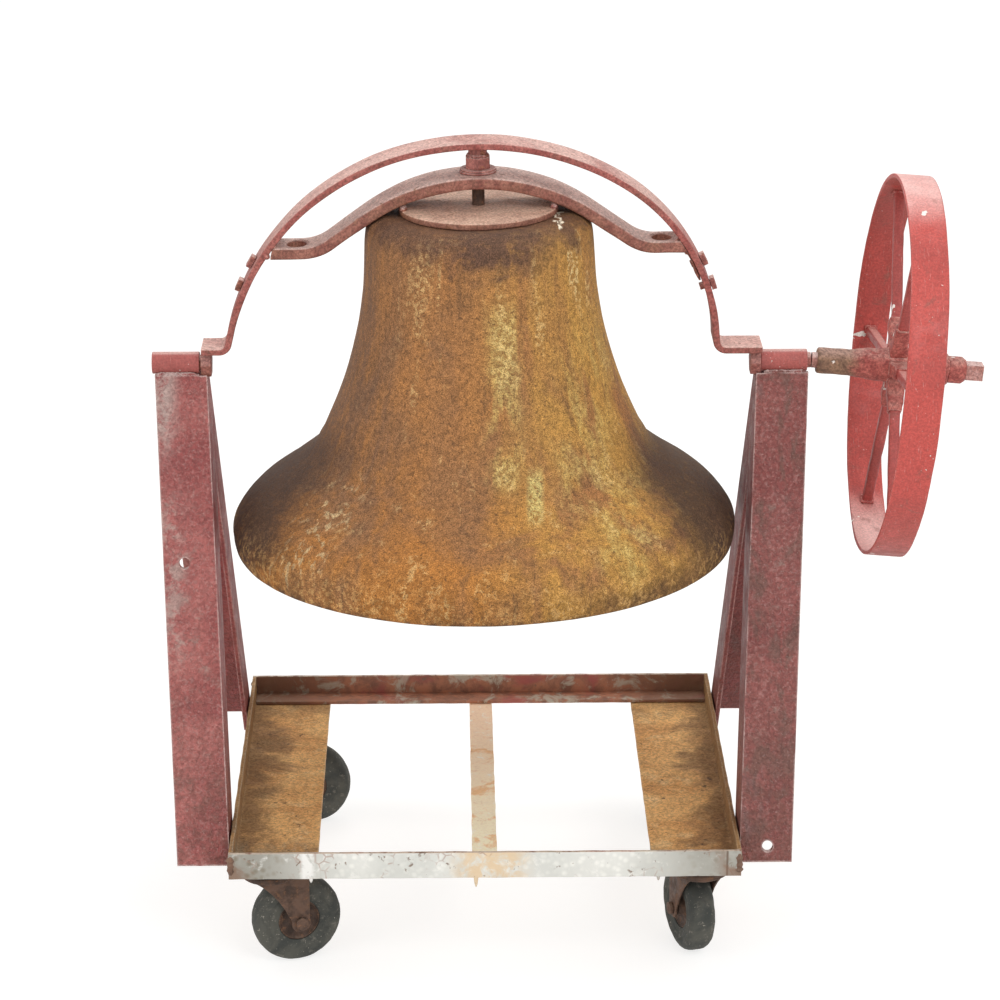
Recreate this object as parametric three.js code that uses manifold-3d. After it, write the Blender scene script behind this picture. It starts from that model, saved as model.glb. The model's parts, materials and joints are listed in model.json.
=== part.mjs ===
// A large hand-rung fire bell: a cast bell under a yoke and strap arch, swung by a rope wheel,
// carried on two A-shaped angle-iron stands that are welded to a low tray on four swivel casters.
// Millimetres, +Z up. The origin is on the floor, in the middle of the object's length and depth.
import * as THREE from "three";
import { mergeVertices } from "three/addons/utils/BufferGeometryUtils.js";
import Module from "manifold-3d";

const wasm = await Module();
wasm.setup();

const degrees = THREE.MathUtils.degToRad;

// Everything below is drawn from the swing axis: x = 0 on the bell's centre line, z = 0 on the axis.
const GAP = 0.3; // left between pieces that touch
const FLOOR_Z = -703;

const SLEEVE = { outer: 13.35, bore: 10.45, left: [-400, -342.6], right: [338.8, 395.4] };
const GUDGEON = { radius: 9.525, acrossFlats: 30.8, headInner: 328, headOuter: 340.4 };
const NECK_X = 401; // where the crank shaft bends down out of the swing axis
const DROOP = degrees(4.5);
const SHAFT_REACH = 210; // from the bend to the end of the square

const BELL = { mouthZ: -225.7, height: 414.7, wall: 9.5, soundBow: 19, soundBowHeight: 34, crownThick: 13 };
const CROWN_PLATE = { radius: 96, thick: 7.5 };
const BOLT_RADIUS = 7.5; // the centre bolt, which hangs the bell from the yoke
const WASHER = { radius: 22.4, thick: 4.7 };
const CENTRE_NUT = { acrossFlats: 28.5, height: 13.9 };
const STUB = { radius: 11.2, belowArch: 0.9 }; // the short bar between the nut and the arch

// The strap arch was bent by hand, so its two halves differ: each has a crown of one radius that holds over
// an angle from the top, a haunch of a smaller radius below it, and two strap bolts at angles on the haunch.
const ARCH = { topZ: 272.5, thick: 8, width: 51, footZ: 19.7, footBend: 12, footEnd: 339 };
const ARCH_LEFT = { side: -1, crown: 347.6, turn: 17.2, haunch: 295.1, bolts: { upper: 30.2, lower: 24.1 } };
const ARCH_RIGHT = { side: 1, crown: 326.2, turn: 31.7, haunch: 235.6, bolts: { upper: 25.6, lower: 18 } };
// The bell and its yoke hang a little out of true: the angle lifts the right end of the yoke.
const LEAN = { angle: 0.85, shift: -0.8 };
const YOKE = { thick: 14.4, archRadius: 235, apexZ: 229.2, lean: 35, endBend: 60, straight: 53, end: 250 };
const YOKE_WIDTH = { middle: 66, end: 51, taperFrom: 60, taperTo: 170 };
const YOKE_SLOT = { x: 219, halfX: 11.5, halfY: 15.5 };
const LUG = { thick: 4, width: 40, from: 21, to: 34 };
const STRAP_BOLT = { head: 14.4, headThick: 6, radius: 4.75, inside: 0.6 };

const WHEEL = { radius: 232.3, band: 5, width: 44.4, centreX: 504, spokes: 6, firstSpoke: 36 };
const SPOKE = { wide: 13, thick: 11, from: 52 };
const HUB = { start: 6.6, end: 166.5, smallRadius: 15.7, largeRadius: 19.75, flareFrom: 45, flareTo: 70 };
const SOCKET = { reach: 60, wide: 19, thick: 17 };
const COLLAR = { start: 167, end: 189, radius: 16.5 };
const SQUARE = 19;

const LEG = { flange: 63.5, thick: 6, topZ: -12, bottomZ: -560 };
const LEG_TOP = { inner: 333, front: -14 };
const LEG_BOTTOM = { inner: 306.6, front: -238 };
const LEG_HOLE = { radius: 6.5, frontRight: { x: 341, z: -542.5 }, frontLeft: { x: -360.6, z: -223 } };

const TRAY = { halfLength: 306, halfDepth: 275.8, topZ: -526.4, bottomZ: -560 };
const DECK = { width: 104.6, thick: 5 };
const RAIL = { thick: 4.5, deep: 35 };
const CENTRE_BAR = { width: 30, thick: 5 };

const CASTER = { x: 262, y: 207, trail: 33, radius: 55, tread: 33, crownRadius: 35, crownThick: 10 };
const CASTER_PLATE = { length: 80, depth: 90, thick: 4, raceway: 29, racewayThick: 12.7 };
const KING_PIN = { radius: 7, head: 12, headThick: 5 };
const SWIVEL_PLAY = 0.4; // round the king pin, and above and below the fork's crown
const FORK = { thick: 3, armY: 19.7, tail: 45, nose: 24, axleBoss: 12, frontX: 6, frontDrop: 14 };
const AXLE = { radius: 4.75, head: 8.5, headThick: 4.5 };
const TYRE_SHOULDER = { inward: 6, across: 7 };
const CORE = { radius: 26, width: 35, bore: 5.05, boss: 12, bossHeight: 6, dish: 7 };

const CLAPPER = { pivotZ: 138, pin: 5, pinHalf: 29, ballZ: -172, ball: 34, tail: 12, tailEnd: -216 };
const SHANK = { top: 7, foot: 11 };
const EYE = { radius: 12, halfWidth: 9, play: 0.5 };
const HANGER = { halfX: 26, halfY: 20, thick: 8, earHalfY: 13, earThick: 7, belowPin: 14 };
const HANGER_NUT = { acrossFlats: 24, height: 11, boltBelow: 2 };

const ROUND = 20; // segments round a small turned piece
const FINE = 40; // segments round a large one
const RIM_SIDES = 60;

const FINISH = {
  redPaint: { color: 0x8f4a47, roughness: 0.6, metalness: 0.1 },
  brightRed: { color: 0xc9504b, roughness: 0.55, metalness: 0.1 },
  bellRust: { color: 0x9c6a30, roughness: 0.8, metalness: 0.3 },
  deckRust: { color: 0xa87437, roughness: 0.85, metalness: 0.2 },
  galvanised: { color: 0xb9bab0, roughness: 0.6, metalness: 0.5 },
  rubber: { color: 0x4b4c47, roughness: 0.85, metalness: 0 },
  brownIron: { color: 0x5c4338, roughness: 0.8, metalness: 0.3 },
};

// --- solids ------------------------------------------------------------------------------------

// A closed three.js geometry as a manifold solid, turned inside out if its faces point inwards.
function solidOf(geometry) {
  const bare = geometry.clone();
  bare.deleteAttribute("normal");
  bare.deleteAttribute("uv");
  const merged = mergeVertices(bare, 1e-4);
  const corners = merged.index.array;
  const kept = [];
  for (let i = 0; i < corners.length; i += 3) {
    const [a, b, c] = [corners[i], corners[i + 1], corners[i + 2]];
    if (a !== b && b !== c && c !== a) kept.push(a, b, c);
  }
  const build = (triVerts) =>
    new wasm.Manifold(
      new wasm.Mesh({
        numProp: 3,
        vertProperties: new Float32Array(merged.attributes.position.array),
        triVerts: new Uint32Array(triVerts),
      }),
    );
  const made = build(kept);
  return made.volume() > 0 ? made : build(kept.reverse());
}

function geometryOf(solid) {
  const mesh = solid.getMesh();
  const geometry = new THREE.BufferGeometry();
  geometry.setAttribute("position", new THREE.BufferAttribute(mesh.vertProperties, 3));
  geometry.setIndex(new THREE.BufferAttribute(mesh.triVerts, 1));
  geometry.computeVertexNormals();
  return geometry;
}

const join = (first, ...others) => others.reduce((sum, next) => sum.add(next), first);
const cut = (first, ...tools) => tools.reduce((rest, tool) => rest.subtract(tool), first);

function box([x0, x1], [y0, y1], [z0, z1]) {
  const geometry = new THREE.BoxGeometry(x1 - x0, y1 - y0, z1 - z0);
  geometry.translate((x0 + x1) / 2, (y0 + y1) / 2, (z0 + z1) / 2);
  return solidOf(geometry);
}

// Turns a geometry drawn along +Y so that it runs along another axis.
function along(geometry, axis) {
  if (axis === "x") geometry.rotateZ(-Math.PI / 2);
  if (axis === "z") geometry.rotateX(Math.PI / 2);
  return geometry;
}

// A cylinder, or a prism of few sides, between two places on an axis.
function rod(radius, [from, to], axis, sides = ROUND, turn = 0) {
  const geometry = new THREE.CylinderGeometry(radius, radius, to - from, sides);
  geometry.rotateY(turn);
  geometry.translate(0, (from + to) / 2, 0);
  return solidOf(along(geometry, axis));
}

// A closed profile of [radius, height] points turned about an axis.
function turned(profile, axis, sides = ROUND) {
  const points = profile.map(([radius, height]) => new THREE.Vector2(radius, height));
  return solidOf(along(new THREE.LatheGeometry(points, sides), axis));
}

function tube(outer, bore, [from, to], axis, sides = ROUND) {
  const ring = [[bore, from], [outer, from], [outer, to], [bore, to], [bore, from]];
  return turned(ring, axis, sides);
}

// An outline in x and z, given thickness in y about y = 0.
function slabAcrossY(shape, width, curveSegments = 12) {
  const geometry = new THREE.ExtrudeGeometry(shape, { depth: width, bevelEnabled: false, curveSegments });
  geometry.rotateX(Math.PI / 2);
  geometry.translate(0, width / 2, 0);
  return solidOf(geometry);
}

// An outline in x and y, given height from one level to another.
function slabUp(shape, [from, to], curveSegments = 12) {
  const depth = to - from;
  const geometry = new THREE.ExtrudeGeometry(shape, { depth, bevelEnabled: false, curveSegments });
  geometry.translate(0, 0, from);
  return solidOf(geometry);
}

const outline = (points) => new THREE.Shape(points.map(([x, y]) => new THREE.Vector2(x, y)));

// The outline of a bar that follows a centre line, given as points with their unit normals.
function ribbon(line, halfWidth) {
  const side = (sign) => line.map(({ at, normal }) => at.clone().addScaledVector(normal, sign * halfWidth));
  return new THREE.Shape([...side(1), ...side(-1).reverse()]);
}

const mirrored = (solid, axis) => solid.mirror(axis === "x" ? [1, 0, 0] : [0, 1, 0]);

// --- the scene graph ---------------------------------------------------------------------------

const fireBell = new THREE.Group();
const fromShaft = new THREE.Group();
const reach = NECK_X + SHAFT_REACH * Math.cos(DROOP) + (SQUARE / 2) * Math.sin(DROOP);
fromShaft.position.set(-(SLEEVE.left[0] + reach) / 2, 0, -FLOOR_Z);
fireBell.add(fromShaft);

// The group that hangs out of true, and the same movement for a solid that is trimmed against the arch.
const leaning = new THREE.Group();
leaning.position.x = LEAN.shift;
leaning.rotation.y = -degrees(LEAN.angle);
fromShaft.add(leaning);
const leaned = (solid) => solid.rotate([0, -LEAN.angle, 0]).translate([LEAN.shift, 0, 0]);

function addPiece(name, solid, finish, group = fromShaft) {
  const mesh = new THREE.Mesh(geometryOf(solid), new THREE.MeshStandardMaterial(FINISH[finish]));
  mesh.name = name;
  group.add(mesh);
}

// --- the bell and what holds it to the yoke ------------------------------------------------------

const crownZ = BELL.mouthZ + BELL.height;

// The outside, as [height above the mouth, radius]: a drawn-in lip, a flared skirt, a tall waist.
const bellOutside = new THREE.SplineCurve(
  [
    [0, 306], [14, 308.6], [32, 307], [60, 285.8], [85, 249.1], [115, 213.8], [150, 191.1],
    [200, 170], [260, 152], [320, 141.4], [388, 136.8], [403, 131.5], [411, 122.5], [BELL.height, 114],
  ].map(([height, radius]) => new THREE.Vector2(radius, height)),
);

function bellWall(height) {
  const fromBow = (height - BELL.soundBowHeight) / BELL.soundBowHeight;
  return BELL.wall + (BELL.soundBow - BELL.wall) * Math.exp(-fromBow * fromBow);
}

function makeBell() {
  const outside = bellOutside.getPoints(13);
  const insideTop = BELL.height - BELL.crownThick;
  const inside = outside.filter((point) => point.y < insideTop - 8 && point.y !== outside[1].y);
  const profile = [
    ...outside.map((point) => [point.x, point.y]),
    [BOLT_RADIUS + GAP, BELL.height],
    [BOLT_RADIUS + GAP, insideTop],
    [inside.at(-1).x - BELL.wall - 12, insideTop],
    ...inside.reverse().map((point) => [point.x - bellWall(point.y), point.y]),
    [outside[0].x, outside[0].y],
  ];
  return turned(profile, "z", FINE).translate([0, 0, BELL.mouthZ]);
}
addPiece("bell", makeBell(), "bellRust", leaning);

const plateZ = [crownZ + GAP, crownZ + GAP + CROWN_PLATE.thick];
const crownPlate = tube(CROWN_PLATE.radius, BOLT_RADIUS + GAP, plateZ, "z", FINE);
addPiece("crown_plate", crownPlate, "redPaint", leaning);

const yokeTopZ = YOKE.apexZ + YOKE.thick / 2;
const washerZ = [yokeTopZ + GAP, yokeTopZ + GAP + WASHER.thick];
const nutZ = [washerZ[1] + GAP, washerZ[1] + GAP + CENTRE_NUT.height];
const stubZ = [nutZ[1] + GAP, ARCH.topZ - ARCH.thick / 2 - STUB.belowArch];
addPiece("centre_washer", tube(WASHER.radius, BOLT_RADIUS + GAP, washerZ, "z"), "redPaint", leaning);

function hexNut(acrossFlats, [from, to]) {
  const hexagon = rod(acrossFlats / 2 / Math.cos(Math.PI / 6), [from, to], "z", 6);
  return cut(hexagon, rod(BOLT_RADIUS + GAP, [from - 1, to + 1], "z", ROUND));
}
addPiece("centre_nut", hexNut(CENTRE_NUT.acrossFlats, nutZ), "redPaint", leaning);
addPiece("arch_stub", rod(STUB.radius, stubZ, "z", 24), "redPaint", leaning);

// The clapper's clevis hangs under the crown, clamped by a nut on the same centre bolt.
const insideCrownZ = crownZ - BELL.crownThick;
const clevisZ = [insideCrownZ - GAP - HANGER.thick, insideCrownZ - GAP];
const lowerNutZ = [clevisZ[0] - GAP - HANGER_NUT.height, clevisZ[0] - GAP];
const boltZ = [lowerNutZ[0] - HANGER_NUT.boltBelow, nutZ[1]];
addPiece("centre_bolt", rod(BOLT_RADIUS, boltZ, "z"), "redPaint", leaning);
addPiece("hanger_nut", hexNut(HANGER_NUT.acrossFlats, lowerNutZ), "brownIron", leaning);

// A rod through the clapper's pivot, long enough to cut a hole through both ears.
function throughPivot(radius, halfLength = HANGER.halfX + 10) {
  return rod(radius, [-halfLength, halfLength], "x").translate([0, 0, CLAPPER.pivotZ]);
}

function makeHanger() {
  const { halfX, halfY, earHalfY, earThick, belowPin } = HANGER;
  const earZ = [CLAPPER.pivotZ - belowPin, clevisZ[0] + 1];
  const top = box([-halfX, halfX], [-halfY, halfY], clevisZ);
  const leftEar = box([-halfX, -halfX + earThick], [-earHalfY, earHalfY], earZ);
  const rightEar = box([halfX - earThick, halfX], [-earHalfY, earHalfY], earZ);
  const boltHole = rod(BOLT_RADIUS + GAP, [clevisZ[0] - 5, clevisZ[1] + 5], "z");
  return cut(join(top, leftEar, rightEar), boltHole, throughPivot(CLAPPER.pin + GAP));
}
addPiece("clapper_hanger", makeHanger(), "brownIron", leaning);
addPiece("clapper_pin", throughPivot(CLAPPER.pin, CLAPPER.pinHalf), "brownIron", leaning);

// The clapper: an eye on the pin, a tapering rod, the ball that strikes, and a short tail under it.
function makeClapper() {
  const bore = CLAPPER.pin + EYE.play;
  const ring = tube(EYE.radius, bore, [-EYE.halfWidth, EYE.halfWidth], "x", 24);
  const eye = ring.translate([0, 0, CLAPPER.pivotZ]);
  const ball = solidOf(new THREE.SphereGeometry(CLAPPER.ball, 20, 12).rotateX(Math.PI / 2));
  const length = CLAPPER.pivotZ - CLAPPER.ballZ - (EYE.radius + bore) / 2;
  const shank = new THREE.CylinderGeometry(SHANK.top, SHANK.foot, length, 16);
  shank.rotateX(Math.PI / 2);
  shank.translate(0, 0, CLAPPER.ballZ + length / 2);
  return cut(
    join(
      eye,
      solidOf(shank),
      ball.translate([0, 0, CLAPPER.ballZ]),
      rod(CLAPPER.tail, [CLAPPER.tailEnd, CLAPPER.ballZ], "z", 16),
    ),
    throughPivot(bore),
  );
}
addPiece("clapper", makeClapper(), "brownIron", leaning);

// --- the line of the strap arch ---------------------------------------------------------------------

function haunchCentre({ side, crown, turn, haunch }) {
  const lean = degrees(turn);
  const offset = crown - haunch;
  return new THREE.Vector2(side * offset * Math.sin(lean), ARCH.topZ - crown + offset * Math.cos(lean));
}

// The centre line of half the arch, from the top to where it turns out into the foot.
function archSide(half) {
  const { side, crown, turn, haunch } = half;
  const normalAt = (fromTop) => new THREE.Vector2(side * Math.sin(fromTop), Math.cos(fromTop));
  const pointOn = (centre, radius, fromTop) => {
    const normal = normalAt(fromTop);
    return { at: centre.clone().addScaledVector(normal, radius), normal };
  };
  const lean = degrees(turn);
  const crownCentre = new THREE.Vector2(0, ARCH.topZ - crown);
  const centre = haunchCentre(half);
  const bendZ = ARCH.footZ + ARCH.footBend;
  const footTurn = Math.PI / 2 - Math.asin((bendZ - centre.y) / (haunch + ARCH.footBend));
  const arcs = [];
  for (let step = 0; step <= 7; step += 1) arcs.push(pointOn(crownCentre, crown, (lean * step) / 7));
  for (let step = 1; step <= 12; step += 1) {
    arcs.push(pointOn(centre, haunch, lean + ((footTurn - lean) * step) / 12));
  }
  const bendCentre = centre.clone().addScaledVector(normalAt(footTurn), haunch + ARCH.footBend);
  const foot = [];
  for (let step = 1; step <= 5; step += 1) {
    foot.push(pointOn(bendCentre, -ARCH.footBend, footTurn * (1 - step / 5)));
  }
  foot.push({ at: new THREE.Vector2(side * ARCH.footEnd, ARCH.footZ), normal: normalAt(0) });
  return { arcs, foot };
}

const archLeft = archSide(ARCH_LEFT);
const archRight = archSide(ARCH_RIGHT);
const archArcs = [...archLeft.arcs.slice(1).reverse(), ...archRight.arcs];
const archWhole = [...archLeft.foot.slice().reverse(), ...archArcs, ...archRight.foot];

// --- the yoke ------------------------------------------------------------------------------------

// The right half of the yoke's centre line: arch, straight shoulder, reverse bend, level end.
function yokeLine() {
  const lean = degrees(YOKE.lean);
  const line = [];
  const centreZ = YOKE.apexZ - YOKE.archRadius;
  for (let step = 0; step <= 10; step += 1) {
    const angle = (lean * step) / 10;
    const normal = new THREE.Vector2(Math.sin(angle), Math.cos(angle));
    line.push({ at: new THREE.Vector2(0, centreZ).addScaledVector(normal, YOKE.archRadius), normal });
  }
  const shoulder = line.at(-1);
  const down = new THREE.Vector2(Math.cos(lean), -Math.sin(lean));
  const bendStart = shoulder.at.clone().addScaledVector(down, YOKE.straight);
  const bendCentre = bendStart.clone().addScaledVector(shoulder.normal, YOKE.endBend);
  for (let step = 0; step <= 5; step += 1) {
    const angle = lean * (1 - step / 5);
    const normal = new THREE.Vector2(Math.sin(angle), Math.cos(angle));
    line.push({ at: bendCentre.clone().addScaledVector(normal, -YOKE.endBend), normal });
  }
  const levelZ = line.at(-1).at.y;
  line.push({ at: new THREE.Vector2(270, levelZ), normal: new THREE.Vector2(0, 1) });
  return line;
}

const yokeEndZ = yokeLine().at(-1).at.y;

function makeYoke() {
  const right = yokeLine();
  const left = right.slice(1).reverse().map(({ at, normal }) => ({
    at: new THREE.Vector2(-at.x, at.y),
    normal: new THREE.Vector2(-normal.x, normal.y),
  }));
  const bar = slabAcrossY(ribbon([...left, ...right], YOKE.thick / 2), YOKE_WIDTH.middle);
  const { middle, end, taperFrom, taperTo } = YOKE_WIDTH;
  const front = [
    [-YOKE.end, -end / 2], [-taperTo, -end / 2], [-taperFrom, -middle / 2],
    [taperFrom, -middle / 2], [taperTo, -end / 2], [YOKE.end, -end / 2],
  ];
  const plan = outline([...front, ...front.map(([x, y]) => [-x, -y])]);
  const slot = (side) => {
    const shape = new THREE.Shape();
    shape.absellipse(side * YOKE_SLOT.x, 0, YOKE_SLOT.halfX, YOKE_SLOT.halfY, 0, 2 * Math.PI);
    return slabUp(shape, [yokeEndZ - 30, yokeEndZ + 30], 12);
  };
  const boltHole = rod(BOLT_RADIUS + GAP, [150, 260], "z");
  const holed = cut(bar.intersect(slabUp(plan, [60, 260])), slot(-1), slot(1), boltHole);
  const inner = archArcs.map(({ at, normal }) => at.clone().addScaledVector(normal, -ARCH.thick / 2 - GAP));
  const insideArch = slabAcrossY(new THREE.Shape(inner), YOKE_WIDTH.middle + 10);
  return cut(join(leaned(holed).intersect(insideArch), makeLug()), ...strapBoltHoles());
}

// The thin tab that runs down inside the strap from the yoke's right end and takes the upper bolt.
function makeLug() {
  const centre = haunchCentre(ARCH_RIGHT);
  const radius = ARCH_RIGHT.haunch - ARCH.thick / 2 - 2 * GAP - LUG.thick / 2;
  const line = [];
  for (let step = 0; step <= 5; step += 1) {
    const angle = degrees(LUG.from + ((LUG.to - LUG.from) * step) / 5);
    const normal = new THREE.Vector2(Math.cos(angle), Math.sin(angle));
    line.push({ at: centre.clone().addScaledVector(normal, radius), normal });
  }
  return slabAcrossY(ribbon(line, LUG.thick / 2), LUG.width);
}

// --- the strap arch and its bolts -------------------------------------------------------------------

// Places a solid drawn along +X, with x measured from a haunch's centre, on that side of the strap.
function onStrap(solid, half, angle) {
  const centre = haunchCentre(half);
  const turn = half.side > 0 ? angle : 180 - angle;
  return solid.rotate([0, -turn, 0]).translate([centre.x, 0, centre.y]);
}

function strapBoltHoles() {
  return [ARCH_LEFT, ARCH_RIGHT].flatMap((half) =>
    Object.values(half.bolts).map((angle) => {
      const span = [half.haunch - 30, half.haunch + 30];
      return onStrap(rod(STRAP_BOLT.radius + GAP, span, "x", 12), half, angle);
    }),
  );
}

function makeStrap() {
  return cut(slabAcrossY(ribbon(archWhole, ARCH.thick / 2), ARCH.width), ...strapBoltHoles());
}

addPiece("yoke", makeYoke(), "redPaint");
addPiece("arch_strap", makeStrap(), "redPaint");

function makeStrapBolt(half, angle) {
  const face = half.haunch + ARCH.thick / 2 + 2 * GAP;
  const side = STRAP_BOLT.head / 2;
  const head = box([face, face + STRAP_BOLT.headThick], [-side, side], [-side, side]);
  const lugDepth = half === ARCH_RIGHT ? LUG.thick + 2 * GAP : 0;
  const shankEnd = half.haunch - ARCH.thick / 2 - lugDepth - STRAP_BOLT.inside;
  const shank = rod(STRAP_BOLT.radius, [shankEnd, face + 1], "x", 12);
  return onStrap(join(head, shank), half, angle);
}
for (const [side, half] of Object.entries({ left: ARCH_LEFT, right: ARCH_RIGHT })) {
  for (const [row, angle] of Object.entries(half.bolts)) {
    addPiece(`strap_bolt_${side}_${row}`, makeStrapBolt(half, angle), "redPaint");
  }
}

// --- the gudgeons, on which the whole bell swings ---------------------------------------------------

// Each is a hexagon bolt welded under a foot of the strap; its shank turns in the sleeve.
function makeGudgeon(shankEnd) {
  const corner = GUDGEON.acrossFlats / 2 / Math.cos(Math.PI / 6);
  const head = rod(corner, [GUDGEON.headInner, GUDGEON.headOuter], "x", 6, Math.PI / 6);
  return join(head, rod(GUDGEON.radius, [GUDGEON.headOuter - 1, shankEnd], "x", 24));
}
const sleeveShift = SLEEVE.right[0] - GUDGEON.headOuter - GAP;
const rightGudgeon = makeGudgeon(NECK_X - 1 - sleeveShift).translate([sleeveShift, 0, 0]);
addPiece("gudgeon_right", rightGudgeon, "redPaint");
addPiece("gudgeon_left", mirrored(makeGudgeon(-SLEEVE.left[0] - 2), "x"), "redPaint");

// --- the crank shaft and the rope wheel --------------------------------------------------------------

// Beyond the right sleeve everything is on a line that droops; x here is the distance from the bend.
const crankLine = new THREE.Group();
crankLine.position.set(NECK_X, 0, 0);
crankLine.rotation.y = DROOP;
fromShaft.add(crankLine);

const squareFrom = COLLAR.end;
addPiece(
  "crank_shaft",
  join(
    rod(GUDGEON.radius, [0, squareFrom + 1], "x", 24),
    box([squareFrom, SHAFT_REACH], [-SQUARE / 2, SQUARE / 2], [-SQUARE / 2, SQUARE / 2]),
  ),
  "redPaint",
  crankLine,
);

const wheelX = (WHEEL.centreX - NECK_X) / Math.cos(DROOP);
const shaftBore = GUDGEON.radius + GAP;

// Turns a solid drawn along +Z from the wheel's centre to one spoke's angle, towards the back.
function onSpoke(solid, index) {
  const angle = WHEEL.firstSpoke + (360 / WHEEL.spokes) * index;
  return solid.rotate([-angle, 0, 0]).translate([wheelX, 0, 0]);
}

function makeHub() {
  const { start, end, smallRadius, largeRadius, flareFrom, flareTo } = HUB;
  const body = turned(
    [
      [0, start], [smallRadius, start], [smallRadius, flareFrom], [largeRadius, flareTo],
      [largeRadius, end], [0, end],
    ],
    "x",
  );
  const sockets = Array.from({ length: WHEEL.spokes }, (_, index) => {
    const socket = box(
      [-SOCKET.wide / 2, SOCKET.wide / 2],
      [-SOCKET.thick / 2, SOCKET.thick / 2],
      [5, SOCKET.reach],
    );
    return onSpoke(socket, index);
  });
  const pockets = Array.from({ length: WHEEL.spokes }, (_, index) => {
    const pocket = box(
      [-SPOKE.wide / 2 - GAP, SPOKE.wide / 2 + GAP],
      [-SPOKE.thick / 2 - GAP, SPOKE.thick / 2 + GAP],
      [SPOKE.from - GAP, SOCKET.reach + 5],
    );
    return onSpoke(pocket, index);
  });
  return cut(join(body, ...sockets), ...pockets, rod(shaftBore, [start - 1, end + 1], "x", 24));
}
addPiece("wheel_hub", makeHub(), "redPaint", crankLine);
addPiece(
  "hub_collar",
  turned(
    [
      [shaftBore, COLLAR.start], [COLLAR.radius, COLLAR.start], [COLLAR.radius, COLLAR.end - 5],
      [COLLAR.radius - 3.5, COLLAR.end - GAP], [shaftBore, COLLAR.end - GAP], [shaftBore, COLLAR.start],
    ],
    "x",
  ),
  "redPaint",
  crankLine,
);

const rimSpan = [wheelX - WHEEL.width / 2, wheelX + WHEEL.width / 2];
const rimInner = WHEEL.radius - WHEEL.band;
addPiece("wheel_rim", tube(WHEEL.radius, rimInner, rimSpan, "x", RIM_SIDES), "brightRed", crankLine);
for (let index = 0; index < WHEEL.spokes; index += 1) {
  const spoke = box(
    [-SPOKE.wide / 2, SPOKE.wide / 2],
    [-SPOKE.thick / 2, SPOKE.thick / 2],
    [SPOKE.from, rimInner * Math.cos(Math.PI / RIM_SIDES) - 2 * GAP],
  );
  addPiece(`spoke_${index + 1}`, onSpoke(spoke, index), "brightRed", crankLine);
}

// --- the stands -----------------------------------------------------------------------------------

addPiece("sleeve_left", tube(SLEEVE.outer, SLEEVE.bore, SLEEVE.left, "x"), "redPaint");
addPiece("sleeve_right", tube(SLEEVE.outer, SLEEVE.bore, SLEEVE.right, "x"), "redPaint");

// A front right leg: angle iron with one face to the front and one towards the bell, cut level at both
// ends, leaning back to the sleeve and slightly outwards as it rises.
function makeLeg() {
  const height = LEG.topZ - LEG.bottomZ;
  const leanX = (LEG_TOP.inner - LEG_BOTTOM.inner) / height;
  const leanY = (LEG_TOP.front - LEG_BOTTOM.front) / height;
  const stretch = Math.hypot(1, leanY);
  const { inner, front } = LEG_BOTTOM;
  const { flange, thick } = LEG;
  const section = outline([
    [inner, front], [inner + flange, front], [inner + flange, front + thick * stretch],
    [inner + thick, front + thick * stretch], [inner + thick, front + flange * stretch],
    [inner, front + flange * stretch],
  ]);
  const geometry = new THREE.ExtrudeGeometry(section, { depth: height, bevelEnabled: false });
  const lean = new THREE.Matrix4();
  lean.set(1, 0, leanX, 0, 0, 1, leanY, 0, 0, 0, 1, LEG.bottomZ, 0, 0, 0, 1);
  geometry.applyMatrix4(lean);
  const behind = box([200, 500], [-GAP / 2, 200], [-600, 100]);
  const sleeveRoom = rod(SLEEVE.outer + GAP, [200, 500], "x");
  const headRoom = rod(GUDGEON.acrossFlats / 2 + 3.5, [200, SLEEVE.right[0] + 4], "x");
  return cut(solidOf(geometry), behind, sleeveRoom, headRoom);
}

const boltHoleAt = ({ x, z }) => rod(LEG_HOLE.radius, [-300, -40], "y").translate([x, 0, z]);
const leg = makeLeg();
addPiece("leg_front_right", cut(leg, boltHoleAt(LEG_HOLE.frontRight)), "redPaint");
addPiece("leg_front_left", cut(mirrored(leg, "x"), boltHoleAt(LEG_HOLE.frontLeft)), "redPaint");
addPiece("leg_rear_right", mirrored(leg, "y"), "redPaint");
addPiece("leg_rear_left", mirrored(mirrored(leg, "y"), "x"), "redPaint");

// --- the tray ---------------------------------------------------------------------------------------

const deckTopZ = TRAY.bottomZ + DECK.thick;
const flangeZ = [deckTopZ + GAP, deckTopZ + GAP + RAIL.thick];
const insideRail = TRAY.halfDepth - RAIL.thick - GAP;

function makeRail() {
  const upright = box(
    [-TRAY.halfLength, TRAY.halfLength],
    [-TRAY.halfDepth, -TRAY.halfDepth + RAIL.thick],
    [TRAY.bottomZ, TRAY.topZ],
  );
  const insideLength = TRAY.halfLength - DECK.thick - GAP;
  const ledgeY = [-TRAY.halfDepth + 1, -TRAY.halfDepth + RAIL.deep];
  const ledge = box([-insideLength, insideLength], ledgeY, flangeZ);
  return join(upright, ledge);
}
addPiece("front_rail", makeRail(), "galvanised");
addPiece("rear_rail", mirrored(makeRail(), "y"), "galvanised");

function makeDeck() {
  const { halfLength } = TRAY;
  return join(
    box([halfLength - DECK.width, halfLength], [-insideRail, insideRail], [TRAY.bottomZ, deckTopZ]),
    box([halfLength - DECK.thick, halfLength], [-insideRail, insideRail], [TRAY.bottomZ, TRAY.topZ]),
  );
}
addPiece("side_deck_right", makeDeck(), "deckRust");
addPiece("side_deck_left", mirrored(makeDeck(), "x"), "deckRust");
const barHalf = CENTRE_BAR.width / 2;
const barZ = [deckTopZ - CENTRE_BAR.thick, deckTopZ];
addPiece("centre_bar", box([-barHalf, barHalf], [-insideRail, insideRail], barZ), "deckRust");

// --- the casters --------------------------------------------------------------------------------------

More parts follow.
